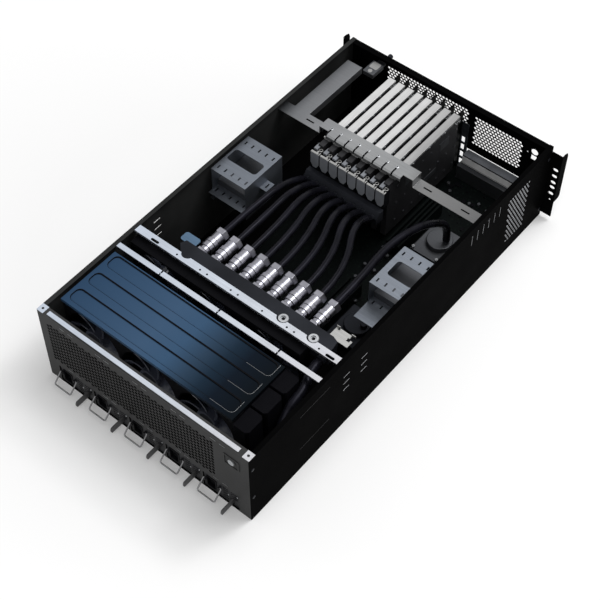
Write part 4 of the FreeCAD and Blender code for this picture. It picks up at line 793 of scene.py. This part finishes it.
def retainer_details():
    """The bar with its tongues; black fillers in the slits between them and in the screw bores are painted shade,
    and each slit ends at a bright screw.
    """
    refine("card_retainer", 0.35)
    pins, slit_painted_shade = bmesh.new(), bmesh.new()
    near = node_box("card_retainer")[0].y
    under = TOP_Z - 0.6
    for index in range(CARDS):
        x, y = CARD_FIRST + index * CARD_PITCH - 2.3, near + 18.0
        pipe_ring(pins, "z", (x, y), ((under, 2.9), (TOP_Z + 0.3, 2.9), (TOP_Z + 0.6, 2.3)), 1.2, 20)
        # Painted shade: a black block in each slit and a black plug in each screw bore.
        block(slit_painted_shade, (x - 1.4, near + 1.5, TOP_Z - 9), (x + 1.4, near + 15.4, TOP_Z - 0.7))
        turned(slit_painted_shade, "z", (x, y), ((under, 1.2), (TOP_Z + 0.1, 1.2)), 14)
    piece("retainer_screws", pins, "pale_metal")
    piece("retainer_slit_painted_shade", slit_painted_shade, "black_plastic")


def card_bay():
    card_strips()
    terminals()
    retainer_details()
    refine("gpu_slot_brackets", 0.2)


# Storage brackets, board parts and connectors


def storage():
    """Bridge brackets, drives, the sheet brackets at the manifold's ends and the corner latch."""
    refine("drive_brackets", 0.3)
    refine("storage_drives", 0.8, look="dim_metal")
    east, west, latch, cap = (bmesh.new() for _ in range(4))
    start, level = node_box("small_brackets")[0].y, 165.0
    corners = ((163, 0), (200, 0), (200, 14), (196, 14), (196, 10), (190, 10), (190, 16), (193, 16),
               (193, 23), (170, 23), (170, 19), (167, 19), (167, 23), (163, 23))
    extruded(east, [(x, start + y) for x, y in corners], "XY", level - SHEET, SHEET)
    block(east, (163, start + 21.8, level), (170, start + 23, level + 5))
    block(east, (192, start + 21.8, level), (200, start + 23, level + 5))
    piece("east_bracket", east, "silver_sheet", bevel=0.2, replaces=("small_brackets",))
    extruded(west, rounded(-150, start, -118, start + 19, 5.0, 6), "XY", level - SHEET, SHEET)
    piece("west_bracket", west, "blue_steel", bevel=0.2)
    block(latch, (-160, 358, 155), (-137, 391, 164.6))
    block(latch, (-157, 391, 155), (-140, 404.7, 158))
    piece("corner_latch", latch, "dim_metal", bevel=0.6)
    extruded(cap, rounded(-157, 372, -140, 389, 2.5, 5), "XY", 164.5, 0.5)
    turned(cap, "z", (-148.5, 365), ((164.4, 4.5), (165, 4.0)), 28)
    piece("latch_cap", cap, "silver_sheet")


def connector_block():
    """Rear connectors: silver shells drawn matte near-white, a painted reflection, with a dark seam, and a grey
    rail on top.
    """
    low, high = node_box("io_ports")
    refine("io_ports", 0.3, look="dim_metal")
    shell, rail, seams = bmesh.new(), bmesh.new(), bmesh.new()
    left, right = low.x + 3.7, high.x - 3.7
    near = FAR_Y - 19.9
    # Painted reflection: the silver shells drawn as matte near-white plastic.
    block(shell, (left, near - 0.5, 41.5), (right, near, 59.0))
    block(rail, (left, near + 1.0, 61.0), (right, high.y - 0.2, 61.2))
    block(seams, (left, near - 0.7, 43.2), (right, near - 0.4, 43.8))
    block(seams, (left, near - 0.4, 60.2), (right, near + 0.8, 61.05))
    piece("connector_shells", shell, "shell_white_painted_reflection", bevel=0.2)
    piece("connector_rail", rail, "terminal_grey", bevel=0.1)
    piece("connector_seams", seams, "black_plastic")


def coolers():
    """Two processor plates, the near one in a darker look than the far one, and their spring screws."""
    low, high = node_box("cpu_coolers")
    plate = 22
    for name, y, look, replaces in (("near_cooler", -20.0, "dark_block", ("cpu_coolers",)),
                                    ("far_cooler", 218.0, "dim_metal", ())):
        bm = bmesh.new()
        block(bm, (94, y - 42, low.z), (160, y + 34, plate))
        turned(bm, "z", (127, y), ((plate, 24), (31, 24), (32, 23)), 56)
        turned(bm, "z", (140, y), ((31, 6), (39.4, 6), (high.z, 5.4)), 32)
        piece(name, bm, look, bevel=0.6, replaces=replaces)
    screws = bmesh.new()
    for spot in ((97.5, 179.5), (147.5, 179.5), (99, 246), (154, 246)):
        turned(screws, "z", spot, ((plate, 3.2), (27, 3.2), (27.6, 2.6), (27.6, 1.4), (29, 1.4)), 24)
    piece("cooler_screws", screws, "pale_metal")


def board_parts():
    """Small chips, capacitors and connectors scattered on the main board."""
    near, top = node_box("motherboard")[0].y + 8, 7.6
    chips, cans, sockets = bmesh.new(), bmesh.new(), bmesh.new()
    for _ in range(150):
        x, y = random.uniform(50, 205), random.uniform(near, 370)
        wide, deep = random.uniform(2, 9), random.uniform(2, 9)
        block(chips, (x, y, top), (x + wide, y + deep, top + random.uniform(0.8, 2.4)))
    for _ in range(60):
        x, y = random.uniform(50, 205), random.uniform(near, 370)
        turned(cans, "z", (x, y), ((top, 3.2), (top + 7, 3.2), (top + 7.6, 2.7)), 16)
    for _ in range(10):
        x, y = random.uniform(60, 190), random.uniform(-30, 360)
        block(sockets, (x, y, top), (x + 16, y + 5, top + 8))
    piece("board_chips", chips, "black_plastic")
    piece("board_cans", cans, "dim_metal")
    piece("board_sockets", sockets, "latch_plastic", bevel=0.3)
    refine("memory_modules", 0.2)
    coolers()
    connector_block()


def screw_heads():
    """Side screws with a black cross on each head, painted shade for the cross recess, and the thumb screw at the
    ear end.
    """
    heads, cross_painted_shade = bmesh.new(), bmesh.new()
    for y, z in ((-398.5, 143.0), (-398.5, 62.7), (212.0, 158.0), (398.0, 150.0), (398.0, 20.0)):
        for side in (-1, 1):
            x = side * SIDE_X
            turned(heads, "x", (y, z), ((x, 3.2), (x + side * 0.45, 3.0), (x + side * 0.8, 2.2)), 24)
            near, far = sorted((x, x + side * 0.85))
            # Painted shade: a flat black cross standing for each head's cross recess.
            for dy, dz in ((1.4, 0.3), (0.3, 1.4)):
                block(cross_painted_shade, (near, y - dy, z - dz), (far, y + dy, z + dz))
    thumb = ((0, 3), (4, 3), (4, 4.6), (13, 4.8), (14, 4.2))
    turned(heads, "y", (-141.5, 165), [(FAR_Y + along, radius) for along, radius in thumb], 24)
    piece("screw_heads", heads, "dark_block", replaces=("screws",))
    piece("screw_cross_painted_shade", cross_painted_shade, "black_plastic")


# Power supplies

FACE_Y = NEAR_Y + 2
BAIL_MIDDLE, BAIL_HALF, BAIL_HIGH, BAIL_LOW = -17.3, 18, 29, 11


def supply(index):
    """One supply: vent sheets, inlet rim and pins, small marks, wire bail and latch tab."""
    tag = f"psu_{index + 1}"
    case, bail, latch = f"{tag}_case", f"{tag}_bail", f"{tag}_latch"
    middle = (index - SUPPLIES // 2) * SUPPLY_PITCH
    refine(case, 0.35, body=case)
    vents, rim, pins, marks, wire = (bmesh.new() for _ in range(5))
    for u0, v0, u1, v1 in ((1.5, 3.5, 17.0, 41), (17.5, 21, 36, 41)):
        field = mesh_holes(middle + u0 + 1, v0 + 1, middle + u1 - 1, v1 - 1, 3.4, 1.35, 6)
        perforated(vents, rounded(middle + u0, v0, middle + u1, v1, 1.5), field, "XZ", FACE_Y - 0.6, 0.6)
    piece(f"{tag}_vents", vents, "dark_case", case)
    perforated(rim, rounded(middle - 31.5, 7.5, middle - 10.5, 37.5, 3),
               [rounded(middle - 29.6, 9.4, middle - 12.4, 35.6, 2)], "XZ", FACE_Y - 1.2, 6.0)
    piece(f"{tag}_inlet_rim", rim, "black_plastic", case, bevel=0.3)
    for dx, dz in ((2.0, 7.0), (2.0, -7.0), (-2.0, 0.0)):
        x, z = middle - 21 + dx, 22.5 + dz
        block(pins, (x - 0.9, FACE_Y + 6.7, z - 1.9), (x + 0.9, FACE_Y + 19, z + 1.9))
    piece(f"{tag}_inlet_pins", pins, "gold", case, bevel=0.3)
    for x in (9, 23):
        block(marks, (middle + x - 3, FACE_Y - 0.7, 41.2), (middle + x + 3, FACE_Y + 0.5, 41.9))
    for x, z in ((14, 24), (32.6, 34)):
        turned(marks, "y", (middle + x, z), ((FACE_Y - 1.0, 1.0), (FACE_Y - 0.4, 1.3)), 16)
    piece(f"{tag}_marks", marks, "pale_metal", case)
    left, right = middle + BAIL_MIDDLE - BAIL_HALF, middle + BAIL_MIDDLE + BAIL_HALF
    root, out = FACE_Y - 2.5, FACE_Y - 20
    tube(wire, [(left + 4.5, root, BAIL_HIGH), (left, root, BAIL_HIGH), (left, out, BAIL_LOW),
                (right, out, BAIL_LOW), (right, root, BAIL_HIGH), (right - 4.5, root, BAIL_HIGH)], 1.3, 3.5)
    piece(f"{tag}_wire", wire, "wire_steel", bail, replaces=(bail,))
    refine(latch, 0.35, body=latch)


chassis_sheets()
radiator_lid()
fan_hubs()
fan_corner_posts()
couplings()
hoses()
manifold()
card_bay()
storage()
board_parts()
screw_heads()
for number in range(SUPPLIES):
    supply(number)

# CAD nodes that show as they are take the look of their slot
for name, shown in frame["nodes"].items():
    shown.data.materials.clear()
    shown.data.materials.append(LOOKS[SLOT_OF[name]])

# Floor, light and camera


def pale_rays(tree):
    """One for the rays that should meet the pale surroundings, and zero for the rest."""
    rays = tree.nodes.new("ShaderNodeLightPath")
    seen = rays.outputs["Is Camera Ray"]
    for kind in ("Is Glossy Ray", "Is Transmission Ray"):
        both = tree.nodes.new("ShaderNodeMath")
        both.operation = "MAXIMUM"
        tree.links.new(seen, both.inputs[0])
        tree.links.new(rays.outputs[kind], both.inputs[1])
        seen = both.outputs["Value"]
    return seen


def floor():
    """Pale floor that keeps the shadow; pale rays find it brighter the further it is from the object."""
    look = bpy.data.materials.new("floor")
    look.use_nodes = True
    tree = look.node_tree
    shader = tree.nodes["Principled BSDF"]
    shader.inputs["Base Color"].default_value = (0.9, 0.9, 0.9, 1)
    shader.inputs["Roughness"].default_value = 0.9
    shader.inputs["Specular IOR Level"].default_value = 0.0
    glow = tree.nodes.new("ShaderNodeEmission")
    glow.inputs["Color"].default_value = (1, 1, 1, 1)
    place = tree.nodes.new("ShaderNodeTexCoord")
    away = tree.nodes.new("ShaderNodeVectorMath")
    away.operation = "LENGTH"
    tree.links.new(place.outputs["Object"], away.inputs[0])
    lift = tree.nodes.new("ShaderNodeMath")
    lift.operation = "MULTIPLY"
    both = tree.nodes.new("ShaderNodeAddShader")
    tree.links.new(pale_rays(tree), lift.inputs[0])
    tree.links.new(spread(tree, away.outputs["Value"], 0.1, 0.65, 0.5, 2.5), lift.inputs[1])
    tree.links.new(lift.outputs["Value"], glow.inputs["Strength"])
    tree.links.new(shader.outputs["BSDF"], both.inputs[0])
    tree.links.new(glow.outputs["Emission"], both.inputs[1])
    tree.links.new(both.outputs["Shader"], tree.nodes["Material Output"].inputs["Surface"])
    mesh = bpy.data.meshes.new("floor")
    half = 9
    mesh.from_pydata([(-half, -half, 0), (half, -half, 0), (half, half, 0), (-half, half, 0)], [], [(0, 1, 2, 3)])
    mesh.materials.append(look)
    ground = bpy.data.objects.new("floor", mesh)
    ground.location.z = -0.0003
    bpy.context.scene.collection.objects.link(ground)


def surroundings():
    """Pale surroundings: white to the camera and in reflections, dimmer as light on the object."""
    world = bpy.data.worlds.new("studio")
    bpy.context.scene.world = world
    world.use_nodes = True
    tree = world.node_tree
    background = tree.nodes["Background"]
    background.inputs["Color"].default_value = (1, 1, 1, 1)
    strength = tree.nodes.new("ShaderNodeMapRange")
    strength.inputs["To Min"].default_value = 0.35
    strength.inputs["To Max"].default_value = 1.0
    tree.links.new(pale_rays(tree), strength.inputs["Value"])
    tree.links.new(strength.outputs["Result"], background.inputs["Strength"])


def lamp(name, spot, size, power):
    """A square lamp, in metres and watts, turned towards the middle of the object."""
    light = bpy.data.lights.new(name, "AREA")
    light.size = size
    light.energy = power
    holder = bpy.data.objects.new(name, light)
    holder.location = spot
    holder.rotation_euler = (Vector((0, 0, 0.1)) - Vector(spot)).to_track_quat("-Z", "Y").to_euler()
    bpy.context.scene.collection.objects.link(holder)


def camera():
    """The photograph's own view: place, turn and lens found from the chassis's corners."""
    azimuth, elevation, roll = 0.68119, 0.920715, 0.003808
    back = Vector((math.sin(azimuth) * math.cos(elevation), -math.cos(azimuth) * math.cos(elevation),
                   math.sin(elevation)))
    level = (-back).cross(Vector((0, 0, 1))).normalized()
    rise = level.cross(-back)
    right = math.cos(roll) * level + math.sin(roll) * rise
    up = math.cos(roll) * rise - math.sin(roll) * level
    view = bpy.data.cameras.new("view")
    view.sensor_width = 36.0
    view.lens = 83.4286
    holder = bpy.data.objects.new("view", view)
    turn = Matrix((right, up, back)).transposed()
    holder.matrix_world = Matrix.Translation((0.928505, -1.16378, 1.92727)) @ turn.to_4x4()
    bpy.context.scene.collection.objects.link(holder)
    bpy.context.scene.camera = holder


floor()
surroundings()
lamp("key", (0.6, 0.9, 3.0), 1.9, 54)
lamp("edge", (0.75, 1.3, 2.5), 0.5, 12)
lamp("fill", (0.6, -2.2, 2.4), 2.0, 20)
camera()
bpy.context.scene.view_settings.view_transform = "Standard"
